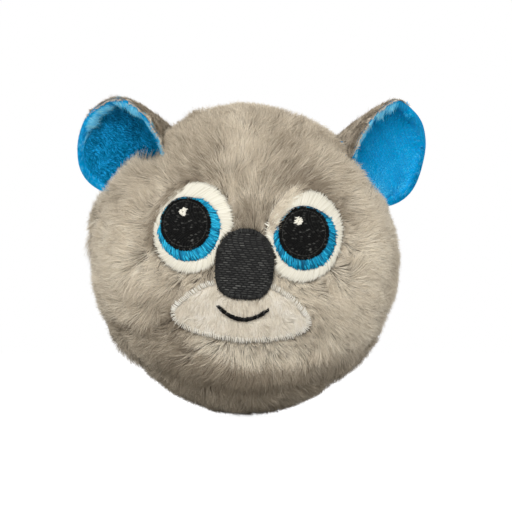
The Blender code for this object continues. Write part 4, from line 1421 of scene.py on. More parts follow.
@dataclass
class Embroidery:
    """Eyes, nose, mouth and muzzle, sewn stitch by stitch over their cloth grounds."""

    face: Face
    # The underlays' lower tones show between the top stitches as painted shade.
    white_under: Satin = Satin(0.00036, 0.00040, 0.0002, 0.35, 0.10, rise=0.00010)
    white_over: Satin = Satin(0.00021, 0.00025, 0.00042, 0.64, 0.13, 2.4, 0.00016, 0.00133)
    iris_under: Satin = Satin(0.00042, 0.00042, 0.0002, 0.15, 0.1, rise=0.00016, lift=0.0014)
    iris_over: Satin = Satin(0.00024, 0.00026, 0.00040, 0.0, 0.28, 1.0, 0.00022, 0.00147)
    # The iris's lighter flecks are painted sheen.
    iris_sheen_flecks: Satin = Satin(0.00037, 0.00024, 0.00040, 0.06, 0.40, 1.0, 0.00020, 0.00158)
    pupil_fill: Fill = Fill(0.00036, 0.0009, 0.00038, 0.26, 0.25, 0.0002, 0.0014)
    pupil_border: Satin = Satin(0.00030, 0.00028, 0.00012, 0.30, 0.20, 0.7, 0.00030, 0.00145)
    nose_fill: Fill = Fill(0.00070, 0.0019, 0.00040, 0.52, 0.15, 0.00036, 0.0022)
    nose_border: Satin = Satin(0.00040, 0.00034, 0.00014, 0.30, 0.16, 0.5, 0.00045, 0.0023)
    muzzle_edge: Satin = Satin(0.00060, 0.00032, 0.00020, 0.75, 0.15, 0.6, 0.00055, 0.0013)
    thin_iris: float = 0.0017
    glint_stitches: int = 26
    mouth_stitches: int = 60
    muzzle_strands: int = 26000
    facets: int = 4
    joints: int = 6
    sink: float = 0.0003
    ground_thickness: float = 0.0009
    seed: int = 40

    def ring_stitches(self, inner: Array, outer: Array, satin: Satin, lighter: float = 0.0) -> Stitches:
        """Satin stitches that run across a ring.

        Args:
            inner: The ring's inner outline.
            outer: Its outer outline, point for point.
            satin: The kind of stitches.
            lighter: What is added to their tone.

        Returns:
            The stitches.
        """
        rng = np.random.default_rng(self.seed + int(satin.pitch * 1e7) % 97)
        closed = np.vstack([outer, outer[:1]])
        length = np.linalg.norm(np.diff(closed, axis=0), axis=1).sum()
        count = int(length / satin.pitch)
        place = (np.arange(count) + rng.uniform(-0.2, 0.2, count)) * len(outer) / count
        starts = self.on_ring(inner, place)
        ends = self.on_ring(outer, place + satin.slant * len(outer) / count)
        run = unit(ends - starts)
        starts = starts + run * rng.normal(size=(count, 1)) * satin.fray * 0.5
        ends = ends + run * rng.normal(size=(count, 1)) * satin.fray
        shade = satin.tone + lighter + rng.normal(size=count) * satin.spread
        return Stitches(starts, ends, shade, satin.width, satin.rise, satin.lift, self.seed)

    def on_ring(self, outline: Array, places: Array) -> Array:
        """Points of a closed outline at fractional places."""
        index = np.floor(places).astype(int)
        share = (places - index)[:, None]
        size = len(outline)
        return outline[index % size] * (1 - share) + outline[(index + 1) % size] * share

    def fill_stitches(self, outline: Array, fill: Fill) -> Stitches:
        """Rows of fill stitches across an outline, each row stepped from the last."""
        rng = np.random.default_rng(self.seed + 3)
        pitch, length = fill.pitch, fill.length
        low, high = outline[:, 1].min(), outline[:, 1].max()
        starts, ends = [], []
        for k, up in enumerate(np.arange(low + pitch * 0.6, high - pitch * 0.3, pitch)):
            nxt = np.roll(outline, -1, axis=0)
            cut = (outline[:, 1] > up) != (nxt[:, 1] > up)
            share = (up - outline[cut, 1]) / (nxt[cut, 1] - outline[cut, 1])
            across = outline[cut, 0] + share * (nxt[cut, 0] - outline[cut, 0])
            left, right = across.min(), across.max()
            first = left - length * ((k * 0.38) % 1)
            places = np.arange(first, right + length, length)
            places = np.clip(places + rng.normal(size=len(places)) * length * 0.05, left, right)
            for a, b in zip(places, places[1:]):
                if b - a > 0.0005:
                    starts.append((a, up + rng.normal() * pitch * 0.07))
                    ends.append((b, up + rng.normal() * pitch * 0.07))
        tones = fill.tone + rng.normal(size=len(starts)) * fill.spread
        return Stitches(np.array(starts), np.array(ends), tones, fill.width, fill.rise, fill.lift, self.seed + 5)

    def ground(
        self, name: str, rings: Array, finish: bpy.types.Material, top: float, label: str, node: str
    ) -> None:
        """Lays the cloth that stitches lie on, from rings of flat points."""
        upper, _ = self.face.draped(rings, top)
        lower, _ = self.face.draped(rings, top - self.ground_thickness)
        pole = bool(np.allclose(rings[0], rings[0][:1]))
        dressed(build_shell(name, upper, lower, pole, True, finish), label, node)

    def sew(
        self, name: str, runs: Sequence[Stitches], tree: GrowthTree, finish: bpy.types.Material,
        label: str, node: str | None = None,
    ) -> None:
        """Sews runs of stitches as one piece."""
        points = joined(run.points(self.face) for run in runs)
        sizes = {"Facets": self.facets, "Joints": self.joints, "Sink": self.sink}
        dressed(tree.grow(name, points, sizes, finish), label, node)

    def rings(self, middle: Array, outline: Array, steps: int) -> Array:
        """Rings of flat points from a middle point or inner outline to an outline."""
        inner = np.broadcast_to(middle, outline.shape)
        return np.array([inner + (outline - inner) * k / steps for k in range(steps + 1)])

    def held_off(self, outline: Array, middle: Array, keep_out: Array) -> Array:
        """An outline drawn in towards its middle where it would reach into another one."""
        shares = np.linspace(1, 0, 200)[:, None, None]
        tries = middle + (outline - middle) * shares
        free = outline_distance(tries.reshape(-1, 2), keep_out).reshape(tries.shape[:2]) > 0
        return tries[free.argmax(0), np.arange(len(outline))]

    def build_eye(self, side: str, eye: Eye, tree: GrowthTree, threads: dict[str, bpy.types.Material]) -> None:
        """White, iris, pupil and glint of one eye."""
        white = self.held_off(eye.white, eye.middle, pulled_in(self.face.nose, -0.0003))
        rings = self.rings(eye.iris, pulled_in(white, 0.0004), 4)
        self.ground(
            f"{side}_eye_white_ground", rings, threads["white ground"], 0.0012, "white_thread", f"{side}_eye_white"
        )
        thin = np.linalg.norm(eye.iris - eye.pupil, axis=1) < self.thin_iris
        inner = np.where(thin[:, None], pulled_in(eye.pupil, 0.0001), pulled_in(eye.iris, 0.0003))
        under = self.ring_stitches(inner, pulled_in(white, 0.0003), self.white_under)
        over = self.ring_stitches(inner, white, self.white_over)
        self.sew(f"{side}_eye_white_satin", [under, over], tree, threads["white"], "white_thread")

        rings = self.rings(pulled_in(eye.pupil, -0.0001), pulled_in(eye.iris, 0.0003), 2)
        self.ground(
            f"{side}_eye_iris_ground", rings, threads["blue ground"], 0.00125, "blue_thread", f"{side}_eye_iris"
        )
        inner = pulled_in(eye.pupil, 0.0003)
        outer = np.where(thin[:, None], inner, pulled_in(eye.iris, 0.0001))
        half_way = np.where(thin[:, None], inner, (inner + outer) / 2)
        under = self.ring_stitches(inner, outer, self.iris_under).longer(0.0010)
        over = self.ring_stitches(inner, outer, self.iris_over, eye.iris_tone).longer(0.0013)
        flecks = self.ring_stitches(half_way, outer, self.iris_sheen_flecks, eye.iris_tone).longer(0.0007)
        self.sew(f"{side}_eye_iris_satin", [under, over, flecks], tree, threads["blue"], "blue_thread")

        rings = self.rings(eye.middle, pulled_in(eye.pupil, 0.0003), 5)
        self.ground(
            f"{side}_eye_pupil_ground", rings, threads["black ground"], 0.0013, "black_thread", f"{side}_eye_pupil"
        )
        fill = self.fill_stitches(pulled_in(eye.pupil, 0.0006), self.pupil_fill)
        border = self.ring_stitches(
            pulled_in(eye.pupil, 0.0010), pulled_in(eye.pupil, -0.0001), self.pupil_border
        )
        line = pulled_in(eye.pupil, 0.0013)[::2]
        traced = Stitches(
            line, np.roll(line, -1, axis=0), np.full(len(line), 0.66), width=0.00022, rise=0.00012, lift=0.0016, seed=6
        )
        self.sew(f"{side}_eye_pupil_fill", [fill, border, traced], tree, threads["black"], "black_thread")
        self.sew(
            f"{side}_eye_glint_stitches", [self.glint(eye)], tree, threads["white"], "white_thread", f"{side}_eye_glint"
        )

    def glint(self, eye: Eye) -> Stitches:
        """A small round heap of short stitches."""
        rng = np.random.default_rng(self.seed + eye.side)
        count = self.glint_stitches
        swing, span = rng.uniform(0, 2 * math.pi, count), 0.0011 * np.sqrt(rng.uniform(size=count))
        middle = eye.glint + np.stack([np.cos(swing), np.sin(swing)], -1) * span[:, None]
        turn = rng.uniform(-0.3, 1.1, count)
        half = np.stack([np.cos(turn), np.sin(turn)], -1) * rng.uniform(0.0004, 0.0007, (count, 1))
        return Stitches(
            middle - half, middle + half, np.full(count, 0.8), width=0.00046, rise=0.0003, lift=0.0017, seed=9
        )

    def build_nose(self, tree: GrowthTree, threads: dict[str, bpy.types.Material]) -> None:
        """The nose: a raised pad of fill stitches inside a satin border."""
        nose = self.face.nose
        rings = self.rings(np.zeros(2), pulled_in(nose, 0.0003), 8)
        self.ground("nose_ground", rings, threads["black ground"], 0.0021, "black_thread", "nose")
        fill = self.fill_stitches(pulled_in(nose, 0.0011), self.nose_fill)
        border = self.ring_stitches(pulled_in(nose, 0.0017), pulled_in(nose, 0.0001), self.nose_border)
        self.sew("nose_fill", [fill, border], tree, threads["nose"], "black_thread")

    def build_mouth(self, tree: GrowthTree, threads: dict[str, bpy.types.Material]) -> None:
        """The mouth: an arc of short satin stitches."""
        rng = np.random.default_rng(self.seed + 8)
        count = self.mouth_stitches
        share = np.linspace(-1, 1, count)
        arc = np.stack([share * 0.0079 + 0.0005, -0.0136 - 0.0037 * (1 - share**2)], -1)
        along = unit(np.gradient(arc, axis=0))
        side = np.stack([-along[:, 1], along[:, 0]], -1)
        half = 0.00066 * (1 - 0.25 * np.abs(share[:, None]) ** 6) * rng.uniform(0.8, 1.2, (count, 1))
        slant = along * 0.0003
        run = Stitches(
            arc - side * half - slant, arc + side * half + slant, rng.normal(0.35, 0.15, count),
            width=0.00036, rise=0.0003, lift=0.0022, seed=4,
        )
        self.sew("mouth_satin", [run], tree, threads["black"], "black_thread", "mouth_stitching")

    def build_muzzle(self, pile: GrowthTree, tree: GrowthTree, threads: dict[str, bpy.types.Material]) -> None:
        """The cream patch with its own short pile, and the stitches round its edge."""
        face = self.face
        middle = np.array([0.0, -face.muzzle_drop])
        rings = self.rings(middle, pulled_in(face.muzzle, 0.0012), 10)
        self.ground("muzzle_backing", rings, threads["cream ground"], 0.0009, "cream_short_pile", "muzzle_patch")
        rng = np.random.default_rng(self.seed + 11)
        reach = np.array([face.muzzle_half[0], face.muzzle_half[1] * 1.05])
        spots = rng.uniform(-1, 1, (self.muzzle_strands, 2)) * reach + middle
        deep = outline_distance(spots, face.muzzle, True)
        clear = outline_distance(spots, face.nose, True)
        low = np.clip((middle[1] - spots[:, 1]) / face.muzzle_half[1], 0, 1)
        kept = (deep < -0.0015 - 0.0012 * low) & (clear > -0.0006)
        spots, deep = spots[kept], deep[kept]
        root, out = face.draped(spots, 0.0008)
        down = np.array([0.0, 0.0, -1.0]) + ripples(root, 0.006, 50) * 0.35
        down[:, 0] += 36.0 * root[:, 0]
        count = len(spots)
        # Painted shade: darkened towards the muzzle's left end and down its middle under the nose.
        tone = 0.70 + 0.10 * Ripple(0.005, 55).at(root) - 0.42 * np.clip((-root[:, 0] - 0.012) / 0.009, 0, 1)
        tone = tone - 0.30 * np.exp(-((root[:, 0] / 0.010) ** 2))
        points = {
            "root": root,
            "out": out,
            "nap": along_surface(down, out),
            "sway": rng.normal(size=(count, 3)) * 0.18,
            "length": np.clip(0.0021 * (1 + rng.normal(size=count) * 0.15), 0.0008, 0.003),
            "lift": np.clip(0.38 + 0.1 * Ripple(0.004, 54).at(root) + rng.normal(size=count) * 0.08, 0.1, 0.9),
            "roll": rng.uniform(-0.8, 0.8, count),
            "tone": np.clip(tone + rng.normal(size=count) * 0.14, 0.02, 0.98),
        }
        sizes = pile_sizes(3, 0.00017, (0.0011, 0.3), (0.003, 0.1), 0.3)
        dressed(pile.grow("muzzle_pile", points, sizes, CREAM_PILE.build()), "cream_short_pile")
        edge = face.muzzle
        run = self.ring_stitches(pulled_in(edge, 0.0018), pulled_in(edge, -0.0003), self.muzzle_edge)
        free = outline_distance(run.starts, pulled_in(face.nose, -0.0004), True) > 0
        run.starts, run.ends, run.tone = run.starts[free], run.ends[free], run.tone[free]
        self.sew("muzzle_edge_thread", [run], tree, threads["cream"], "cream_thread", "muzzle_edge_stitching")

    def build(self, pile: GrowthTree, tree: GrowthTree) -> None:
        """Sews the whole face."""
        threads = {
            "white": WHITE_THREAD.build(),
            "cream": CREAM_THREAD.build(),
            "blue": BLUE_THREAD.build(),
            "black": BLACK_THREAD.build(),
            "nose": LIT_NOSE_THREAD.build(),
            "white ground": GAP_SHADE_WHITE_GROUND.build(),
            "blue ground": GAP_SHADE_BLUE_GROUND.build(),
            "black ground": BLACK_GROUND.build(),
            "cream ground": CREAM_BACKING.build(),
        }
        self.build_muzzle(pile, tree, threads)
        self.build_eye("left", self.face.left_eye, tree, threads)
        self.build_eye("right", self.face.right_eye, tree, threads)
        self.build_nose(tree, threads)
        self.build_mouth(tree, threads)


# ---------------------------------------------------------------- ears


@dataclass(frozen=True)
class Cup:
    """An ear's cloths as grids of points, with rows from the rim to the root.

    Attributes:
        surface: The outer side.
        lining: The lining's side towards the back.
        inner: The lining's side in the cup.
        inward: Directions from the surface towards the opening's middle.
        normals: The surface's outward directions.
        facing: The way that the cup opens, at the rim.
        crown: How much of each rib belongs to the upper edge, from 0 to 1.
    """

    surface: Array
    lining: Array
    inner: Array
    inward: Array
    normals: Array
    facing: Array
    crown: Array


@dataclass
class Ear:
    """A cupped ear: a grey back and a blue lining, each knitted cloth with short pile."""

    name: str
    ball: Ball
    root_aim: Angles
    facing_aim: Angles
    rim_rise: float
    fold: float
    half_width: float = 0.0141
    half_height: float = 0.0148
    rim_shift: float = 0.0004
    rim_forward: float = 0.0030
    rim_curl: float = 0.0055
    focus_forward: float = 0.0050
    belly_half_width: float = 0.0160
    belly_curl: float = 0.0030
    belly_half_height: float = 0.0172
    belly_back: float = 0.0062
    root_half_width: float = 0.0135
    root_back: float = 0.0058
    root_forward: float = 0.0010
    root_depth: float = 0.0090
    root_shift: float = 0.0040
    fold_power: float = 1.5
    belly_fold: float = 0.5
    belly_fit: float = 0.8
    root_fit: float = 0.5
    root_fold: float = 0.3
    crown_stretch: float = 0.0042
    belly_stretch: float = 0.0024
    tip_drop: float = 0.0038
    rim_fit: tuple[tuple[float, float], ...] = ((-48, 0.0), (226, 0.0))
    # Painted light and shade of the blue lining: its tone in each ear, and how much it lightens across the cup.
    lit_blue_tone: float = 0.38
    lit_blue_slope: float = 0.22
    trim_turns: tuple[float, float] = (62, 84)
    trim_rise: float = 0.0005
    fringe_length: float = 0.0023
    fringe_turns: tuple[float, float] = (100, 150)
    painted_light_streak: Crease | None = None
    turn_range: tuple[float, float] = (-48, 226)
    sunk: float = 0.0100
    back_thickness: float = 0.0009
    lining_depth: float = 0.0014
    lining_thickness: float = 0.0009
    rim_proud: float = -0.0002
    ribs_count: int = 60
    rows: int = 26
    back_density: float = 17.0e6
    trim_density: float = 30.0e6
    lining_density: float = 16.0e6
    fringe_density: float = 40.0e6
    seed: int = 70

    def __post_init__(self) -> None:
        """Sets the ear's own frame on the ball."""
        outward = aim(self.root_aim)
        self.root = self.ball.place(outward, self.ball.swollen(outward))
        self.forward = aim(self.facing_aim)
        self.rise = unit(outward - self.forward * (outward @ self.forward))
        self.along = np.cross(self.forward, self.rise)
        self.along *= -np.sign(self.along[0] * outward[0])

    def placed(self, along: Array, rise: Array, forward: Array) -> Array:
        """A point of the ear's own frame in the part's."""
        return (
            self.root
            + np.multiply.outer(along, self.along)
            + np.multiply.outer(rise, self.rise)
            + np.multiply.outer(forward, self.forward)
        )

    def folded(self, turn: Array) -> Array:
        """How far the side nearer the crown is folded forwards at these turns round the rim."""
        return self.fold * np.clip(np.cos(turn), 0, 1) ** self.fold_power * (1 - np.sin(turn))

    def fitted(self, turn: Array) -> Array:
        """How far the rim lies outside a plain oval at these turns round it."""
        turns, offsets = np.array(self.rim_fit).T
        spread = [np.interp(np.degrees(turn) + step, turns, offsets) for step in (-8, -4, 0, 4, 8)]
        return np.mean(spread, axis=0)

    def rim(self, turn: Array) -> Array:
        """Points of the cup's rim at these turns round it."""
        toward, under = np.clip(np.cos(turn), 0, 1), np.clip(-np.sin(turn), 0, 1)
        return self.placed(
            self.rim_shift + (self.half_width + self.fitted(turn)) * np.cos(turn) + self.crown_stretch * toward,
            self.rim_rise + (self.half_height + self.fitted(turn)) * np.sin(turn)
            - 2 * self.tip_drop * toward * under,
            self.rim_forward + self.rim_curl * np.cos(turn) + self.folded(turn),
        )

    def surface(self, turn: Array, v: Array) -> Array:
        """The cup's outer surface at turns round the rim and places from the rim to the root."""
        across, up, fold = np.cos(turn), np.sin(turn), self.folded(turn)
        belly = self.placed(
            self.rim_shift + (self.belly_half_width + self.belly_curl * across) * across
            + self.belly_stretch * np.clip(across, 0, 1) + self.belly_fit * self.fitted(turn) * across,
            self.rim_rise + (self.belly_half_height + self.belly_fit * self.fitted(turn)) * up,
            self.belly_fold * fold - self.belly_back,
        )
        root = self.placed(
            self.rim_shift + self.root_shift + (self.root_half_width + self.root_fit * self.fitted(turn)) * across,
            np.full(turn.shape, -self.root_depth),
            self.root_forward - self.root_back * up + self.root_fold * fold,
        )
        v = v[..., None]
        return (1 - v) ** 2 * self.rim(turn) + 2 * v * (1 - v) * belly + v**2 * root

    def inward(self, surface: Array) -> Array:
        """Directions from the cup's outer surface towards the middle of its opening."""
        focus = self.placed(np.array(self.rim_shift), np.array(self.rim_rise), np.array(self.focus_forward))
        return unit(focus - surface)

    def height(self, points: Array) -> Array:
        """How far points stand above the pile's tips."""
        offset = points - self.ball.centre
        reach = np.linalg.norm(offset, axis=-1)
        return reach - self.ball.swollen(offset / reach[..., None])

    def grid(self) -> tuple[Array, Array]:
        """Turns and places whose rows end where the cloth is sewn into the ball."""
        turn = np.radians(np.linspace(*self.turn_range, self.ribs_count + 1))
        v = np.linspace(0, 1, 90)
        turns, places = np.broadcast_to(turn, (90, len(turn))), np.broadcast_to(v[:, None], (90, len(turn)))
        deep = self.height(self.surface(turns, places)) < -self.sunk
        last = np.where(deep.any(0), v[deep.argmax(0)], 1.0)
        last = np.where(deep[0], 0.02, last)
        share = np.linspace(0, 1, self.rows + 1)[:, None] ** 0.9
        return np.broadcast_to(turn, (self.rows + 1, len(turn))), share * last

    def normals(self, points: Array) -> Array:
        """Outward directions of a grid of points on the cup's outer surface."""
        down, over = np.gradient(points, axis=0), np.gradient(points, axis=1)
        normal = unit(np.cross(down, over))
        facing = np.sign((normal * self.inward(points)).sum(-1, keepdims=True))
        return -normal * facing

    def scattered(self, grid: Array, normals: Array, density: float, rng: np.random.Generator) -> tuple[Array, ...]:
        """Random points on a grid of points.

        Args:
            grid: The sheet's points, rows first.
            normals: Its outward directions.
            density: How many points there are to a square metre.
            rng: The source of chance.

        Returns:
            Places, outward directions, directions from rim to root, and the row and column places.
        """
        a, b, c = grid[:-1, :-1], grid[1:, :-1], grid[:-1, 1:]
        area = np.linalg.norm(np.cross(b - a, c - a), axis=-1).ravel()
        count = int(area.sum() * density)
        cell = rng.choice(len(area), count, p=area / area.sum())
        i, j = np.unravel_index(cell, a.shape[:2])
        s, t = rng.uniform(size=(2, count, 1))

        def blend(values: Array) -> Array:
            """The values at the random points."""
            near = values[i, j] * (1 - t) + values[i, j + 1] * t
            far = values[i + 1, j] * (1 - t) + values[i + 1, j + 1] * t
            return near * (1 - s) + far * s

        down = unit(np.gradient(grid, axis=0))
        row, column = (i + s[:, 0]) / self.rows, (j + t[:, 0]) / self.ribs_count
        return blend(grid), unit(blend(normals)), unit(blend(down)), row, column

    def grow_pile(self, tree: GrowthTree, name: str, sheet: tuple[Array, ...], length: Any, lift: float, tone: Array,
                  width: float, tuft: Angles, finish: bpy.types.Material,
                  rng: np.random.Generator) -> bpy.types.Object:
        """Short pile on scattered points."""
        root, out, down, _, _ = sheet
        count = len(root)
        nap = down + ripples(root, 0.007, self.seed) * 0.4
        points = {
            "root": root,
            "out": out,
            "nap": along_surface(nap, out),
            "sway": rng.normal(size=(count, 3)) * 0.16,
            "length": length * np.clip(1 + rng.normal(size=count) * 0.18, 0.4, 1.5),
            "lift": np.clip(
                lift + 0.08 * Ripple(0.005, self.seed + 4).at(root) + rng.normal(size=count) * 0.08, 0.1, 0.92,
            ),
            "roll": rng.uniform(-0.8, 0.8, count),
            "tone": np.clip(tone + rng.normal(size=count) * 0.10, 0.02, 0.98),
        }
        sizes = pile_sizes(3, width, tuft, (0.004, 0.08), 0.3)
        return tree.grow(name, points, sizes, finish)

    def cup(self) -> Cup:
        """Both cloths as grids of points."""
        turns, places = self.grid()
        surface = self.surface(turns, places)
        inward = self.inward(surface)
        set_in = np.clip(places / 0.07, 0, 1)[..., None]
        set_in = self.rim_proud + (self.lining_depth - self.rim_proud) * set_in * set_in * (3 - 2 * set_in)
        return Cup(
            surface,
            lining=surface + inward * set_in,
            inner=surface + inward * (set_in + self.lining_thickness),
            inward=inward,
            normals=self.normals(surface),
            facing=unit(surface[0] - surface[1]),
            crown=np.clip((self.trim_turns[1] - np.degrees(turns[0])) / np.ptp(self.trim_turns), 0, 1)[:, None],
        )

    def round_rim(self, column: Array) -> tuple[Array, Array]:
        """The turn round the rim, in degrees, and how strong the rim's painted highlight is there, from 0 to 1."""
        around = self.turn_range[0] + np.ptp(self.turn_range) * column
        return around, np.clip((self.fringe_turns[1] - around) / np.ptp(self.fringe_turns), 0, 1)

    def grow_back(
        self, cup: Cup, tree: GrowthTree, finish: bpy.types.Material, rng: np.random.Generator
    ) -> bpy.types.Object:
        """The back's pile, which near the crown is brushed up and stands along the rim."""
        sheet = self.scattered(cup.surface, cup.normals, self.back_density, rng)
        upward = np.interp(sheet[4], np.linspace(0, 1, len(cup.crown)), cup.crown[:, 0])[:, None]
        sheet = (*sheet[:2], sheet[2] * (1 - 2 * upward), *sheet[3:])
        share = np.linspace(0, 1, 4)[:, None, None]
        trim = cup.surface[0] + cup.facing * self.trim_rise * cup.crown * share - cup.inward[0] * 0.0001
        ahead = np.broadcast_to(unit(cup.facing - cup.inward[0]), trim.shape)
        trimmed = len(sheet[0])
        sheet = tuple(map(np.concatenate, zip(sheet, self.scattered(trim, ahead, self.trim_density, rng))))
        place, _, _, row, column = sheet
        tone = 0.64 + 0.06 * Ripple(0.006, self.seed + 9).at(place)
        # Painted shade: the tone darkens from the middle of the ear's back towards its root at the head; it is also
        # lighter along the rim.
        tone = tone - 0.30 * np.clip((row - 0.35) / 0.3, 0, 1) + 0.16 * np.clip(1 - row / 0.1, 0, 1)
        long = 0.0007 + 0.0009 * np.clip(row / 0.12, 0, 1) + 0.0004 * np.clip(1 - 2 * column, 0, 1)
        long[trimmed:] *= 0.6
        name = f"{self.name}_ear_back_pile"
        return self.grow_pile(tree, name, sheet, long, 0.24, tone, 0.00015, (0.0014, 0.08), finish, rng)

    def grow_lining(
        self, cup: Cup, tree: GrowthTree, finish: bpy.types.Material, rng: np.random.Generator
    ) -> bpy.types.Object:
        """The lining's pile, with painted light and shade across the cup and a painted highlight along the rim."""
        sheet = self.scattered(cup.inner, -cup.normals, self.lining_density, rng)
        place, column = sheet[0], sheet[4]
        _, light = self.round_rim(column)
        # Painted highlight: a band along the rim is lightened, most where the rim is lightest.
        band = Crease(cup.inner[0][:, [0, 2]], 0.0019, back_limit=0.05)
        edge = band.share(place) * (0.45 + 0.40 * light)
        # Painted light and shade: each ear's own lightness, rising across the cup.
        tone = self.lit_blue_tone + self.lit_blue_slope * column + 0.03 * Ripple(0.007, self.seed + 12).at(place)
        tone = tone * (1 - edge) + (0.80 + 0.16 * light) * edge
        # Painted light: a lighter streak on the lining.
        if self.painted_light_streak:
            tone = tone - self.painted_light_streak.painted_shade * self.painted_light_streak.share(place)
        name = f"{self.name}_ear_lining_pile"
        return self.grow_pile(tree, name, sheet, 0.0007, 0.34, tone, 0.00012, (0.0008, 0.12), finish, rng)

    def grow_fringe(
        self, cup: Cup, tree: GrowthTree, finish: bpy.types.Material, rng: np.random.Generator
    ) -> bpy.types.Object:
        """The longer blue pile along the rim, lightened as a painted highlight."""
        share = 0.55 * cup.crown + (1 - 0.55 * cup.crown) * np.linspace(0, 1, 6)[:, None, None]
        band = np.concatenate([cup.surface[0] * (1 - share) + cup.inner[0] * share, cup.inner[1:2]])
        last = unit(cup.facing - 0.7 * cup.normals[1])
        lying = np.concatenate([np.broadcast_to(cup.facing, band[1:].shape), last[None]])
        sheet = self.scattered(band, lying, self.fringe_density, rng)
        place, _, inwards, _, column = sheet
        rib = np.minimum((column * self.ribs_count).astype(int), self.ribs_count)
        ahead = unit(np.gradient(cup.surface[0], axis=0))[rib]
        leaning = (*sheet[:2], unit(0.55 * inwards - ahead), *sheet[3:])
        around, light = self.round_rim(column)
        # Painted highlight: the fringe is lightened where the rim is light.
        tone = 0.44 + 0.30 * light + 0.07 * Ripple(0.0016, self.seed + 13).at(place)
        long = self.fringe_length * (0.4 + 0.6 * light) * np.clip((around - self.turn_range[0]) / 75, 0.2, 1)
        name = f"{self.name}_ear_rim_fringe"
        return self.grow_pile(tree, name, leaning, long, 0.20, tone, 0.00015, (0.0012, 0.05), finish, rng)

    def build(self, tree: GrowthTree, finishes: dict[str, bpy.types.Material]) -> None:
        """Builds both layers with their pile, and hides the solids that the cloths stand for."""
        rng = np.random.default_rng(self.seed)
        cup = self.cup()
        back = build_shell(
            f"{self.name}_ear_back_cloth", cup.surface[1:], (cup.surface + cup.inward * self.back_thickness)[1:],
            False, False, finishes["grey backing"],
        )
        lining = build_shell(
            f"{self.name}_ear_lining_cloth", cup.lining, cup.inner, False, False, finishes["blue backing"]
        )
        grey = self.grow_back(cup, tree, finishes["grey pile"], rng)
        blue = self.grow_lining(cup, tree, finishes["blue pile"], rng)
        fringe = self.grow_fringe(cup, tree, finishes["rim pile"], rng)
        start, end = self.ball.place(aim(self.root_aim), np.array(0.0445)), self.root + self.rise * 0.002
        for piece, node, label in (
            (back, f"{self.name}_ear_back", "grey_short_pile"),
            (lining, f"{self.name}_ear_lining", "blue_short_pile"),
            (grey, None, "grey_short_pile"),
            (blue, None, "blue_short_pile"),
            (fringe, None, "blue_short_pile"),
        ):
            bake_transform(piece)
            if node:
                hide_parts(node)
            log.info("%s: %d faces", piece.name, len(piece.data.polygons))


# ---------------------------------------------------------------- studio


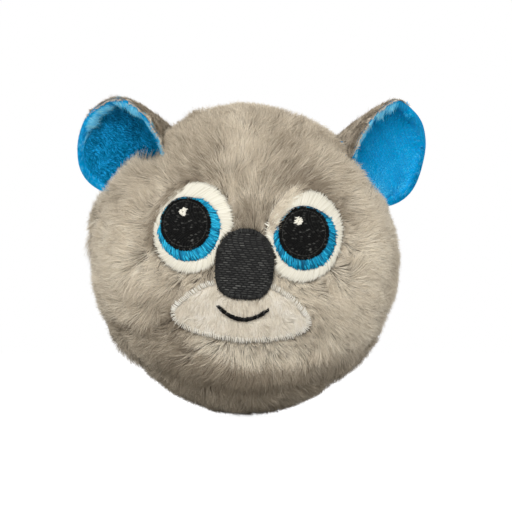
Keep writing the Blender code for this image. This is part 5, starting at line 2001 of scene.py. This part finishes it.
@dataclass
class Studio:
    """A white floor, plain soft light and a camera straight in front."""

    scale: float = 0.00032
    image: int = 512
    foot_pixel: tuple[float, float] = (245.0, 416.0)
    distance: float = 2.5
    sensor: float = 36.0

    def build_camera(self) -> None:
        """The camera, level with the middle of the picture."""
        camera = bpy.data.cameras.new("camera")
        camera.sensor_width = self.sensor
        camera.lens = self.sensor * self.distance / (self.scale * self.image)
        camera.clip_start, camera.clip_end = 0.05, 50
        eye = bpy.data.objects.new("camera", camera)
        middle = self.image / 2
        eye.location = (
            (middle - self.foot_pixel[0]) * self.scale,
            -self.distance,
            (self.foot_pixel[1] - middle) * self.scale,
        )
        eye.rotation_euler = (math.pi / 2, 0, 0)
        bpy.context.scene.collection.objects.link(eye)
        bpy.context.scene.camera = eye

    def build_floor(self) -> None:
        """The floor, white to the camera, with the shadow left on it."""
        material = bpy.data.materials.new("white floor")
        material.use_nodes = True
        tree = Tree(material.node_tree)
        shader = material.node_tree.nodes["Principled BSDF"]
        shader.inputs["Base Color"].default_value = (0.35, 0.35, 0.35, 1)
        shader.inputs["Roughness"].default_value = 1.0
        shader.inputs["Emission Color"].default_value = (1, 1, 1, 1)
        shader.inputs["Specular IOR Level"].default_value = 0.0
        path = tree.node("ShaderNodeLightPath")
        seen = Wire(tree, path.outputs["Is Camera Ray"])
        glow = tree.wire("ShaderNodeEmission", {}, {"Color": (1, 1, 1, 1), "Strength": 0.95})
        both = tree.wire("ShaderNodeAddShader", {}, {0: Wire(tree, shader.outputs[0]), 1: glow})
        mixed = tree.wire("ShaderNodeMixShader", {}, {0: seen, 1: Wire(tree, shader.outputs[0]), 2: both})
        output = material.node_tree.nodes["Material Output"]
        tree.nodes.links.new(mixed.socket, output.inputs["Surface"])
        mesh = bpy.data.meshes.new("floor")
        half = 1.6
        mesh.from_pydata([(-half, -half, 0), (half, -half, 0), (half, half, 0), (-half, half, 0)], [], [(0, 1, 2, 3)])
        mesh.materials.append(material)
        floor = bpy.data.objects.new("floor", mesh)
        floor.location.z = -0.0004
        bpy.context.scene.collection.objects.link(floor)

    def build_light(self) -> None:
        """A soft key from above the camera, a low fill, and a pale world."""
        for name, place, size, power in (
            ("key", (-0.20, -1.75, 0.60), 1.1, 23.0),
            ("right fill", (1.3, -1.1, 0.25), 1.4, 7.0),
            ("left fill", (-1.3, -1.1, 0.20), 1.4, 4.0),
        ):
            light = bpy.data.lights.new(name, "AREA")
            light.shape = "SQUARE"
            light.size = size
            light.energy = power
            lamp = bpy.data.objects.new(name, light)
            lamp.location = place
            direction = Vector((0, 0, 0.05)) - Vector(place)
            lamp.rotation_euler = direction.to_track_quat("-Z", "Y").to_euler()
            bpy.context.scene.collection.objects.link(lamp)
        world = bpy.data.worlds.new("pale world")
        world.use_nodes = True
        bpy.context.scene.world = world
        tree = Tree(world.node_tree)
        path = tree.node("ShaderNodeLightPath")
        seen = tree.maths(
            "MAXIMUM", Wire(tree, path.outputs["Is Camera Ray"]), Wire(tree, path.outputs["Is Glossy Ray"])
        )
        seen = tree.maths("MAXIMUM", seen, Wire(tree, path.outputs["Is Transmission Ray"]))
        sky = world.node_tree.nodes["Background"]
        sky.inputs["Color"].default_value = (1, 1, 1, 1)
        tree.nodes.links.new((seen * 0.52 + 0.48).socket, sky.inputs["Strength"])

    def build(self) -> None:
        """Sets the stage."""
        self.build_camera()
        self.build_floor()
        self.build_light()
        bpy.context.scene.view_settings.view_transform = "Standard"


def main() -> None:
    """Builds the toy round its frame."""
    logging.basicConfig(level=logging.INFO, format="%(name)s: %(message)s")
    for old in list(bpy.data.objects):
        bpy.data.objects.remove(old)
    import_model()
    Studio().build()
    ball = Ball()
    face = Face(ball)
    pile, thread = pile_tree(), stitch_tree()
    Head(ball, face).build(pile)
    Embroidery(face).build(pile, thread)
    finishes = {
        "grey backing": EAR_BACKING.build(),
        "blue backing": BLUE_BACKING.build(),
        "grey pile": EAR_PILE.build(),
        "blue pile": BLUE_PILE.build(),
        "rim pile": RIM_HIGHLIGHT_PILE.build(),
    }
    Ear("left", ball, (-93, 41), (-10, -8), 0.0044, 0.0110, belly_stretch=-0.0024, lit_blue_tone=-0.02,
        rim_fit=(
            (-48, 0.0), (-20, 0.0002), (0, 0.0003), (10, 0.0005), (24, 0.0006), (40, 0.0008),
            (58, -0.0001), (74, -0.0003), (86, -0.0010),
            (98, -0.0018), (112, -0.0019), (124, -0.0017), (136, -0.0014), (146, -0.0008),
            (154, -0.0003), (162, 0.0003),
            (172, 0.0006), (182, 0.0009), (200, 0.0006), (226, 0.0004),
        )).build(pile, finishes)
    Ear("right", ball, (92, 36), (33, -6), 0.0076, 0.0035, belly_stretch=-0.0052, lit_blue_tone=0.54, lit_blue_slope=0.32,
        trim_turns=(46, 58), fringe_turns=(36, 56), seed=90,
        painted_light_streak=Crease(tenths(362, 800, 400, 758, 440, 722), 0.0024, -0.22, 0.0, 0.05),
        rim_fit=(
            (-48, 0.0006), (-20, 0.0011), (6, 0.0004), (24, 0.0004), (40, 0.0014), (52, 0.0006),
            (64, 0.0), (84, 0.0001),
            (104, 0.0), (114, 0.0003), (124, 0.0006), (140, 0.0010), (148, 0.0014), (154, 0.0017), (162, 0.0024),
            (170, 0.0029), (180, 0.0035), (196, 0.0034), (226, 0.0026),
        )).build(pile, finishes)


if __name__ == "__main__":
    main()
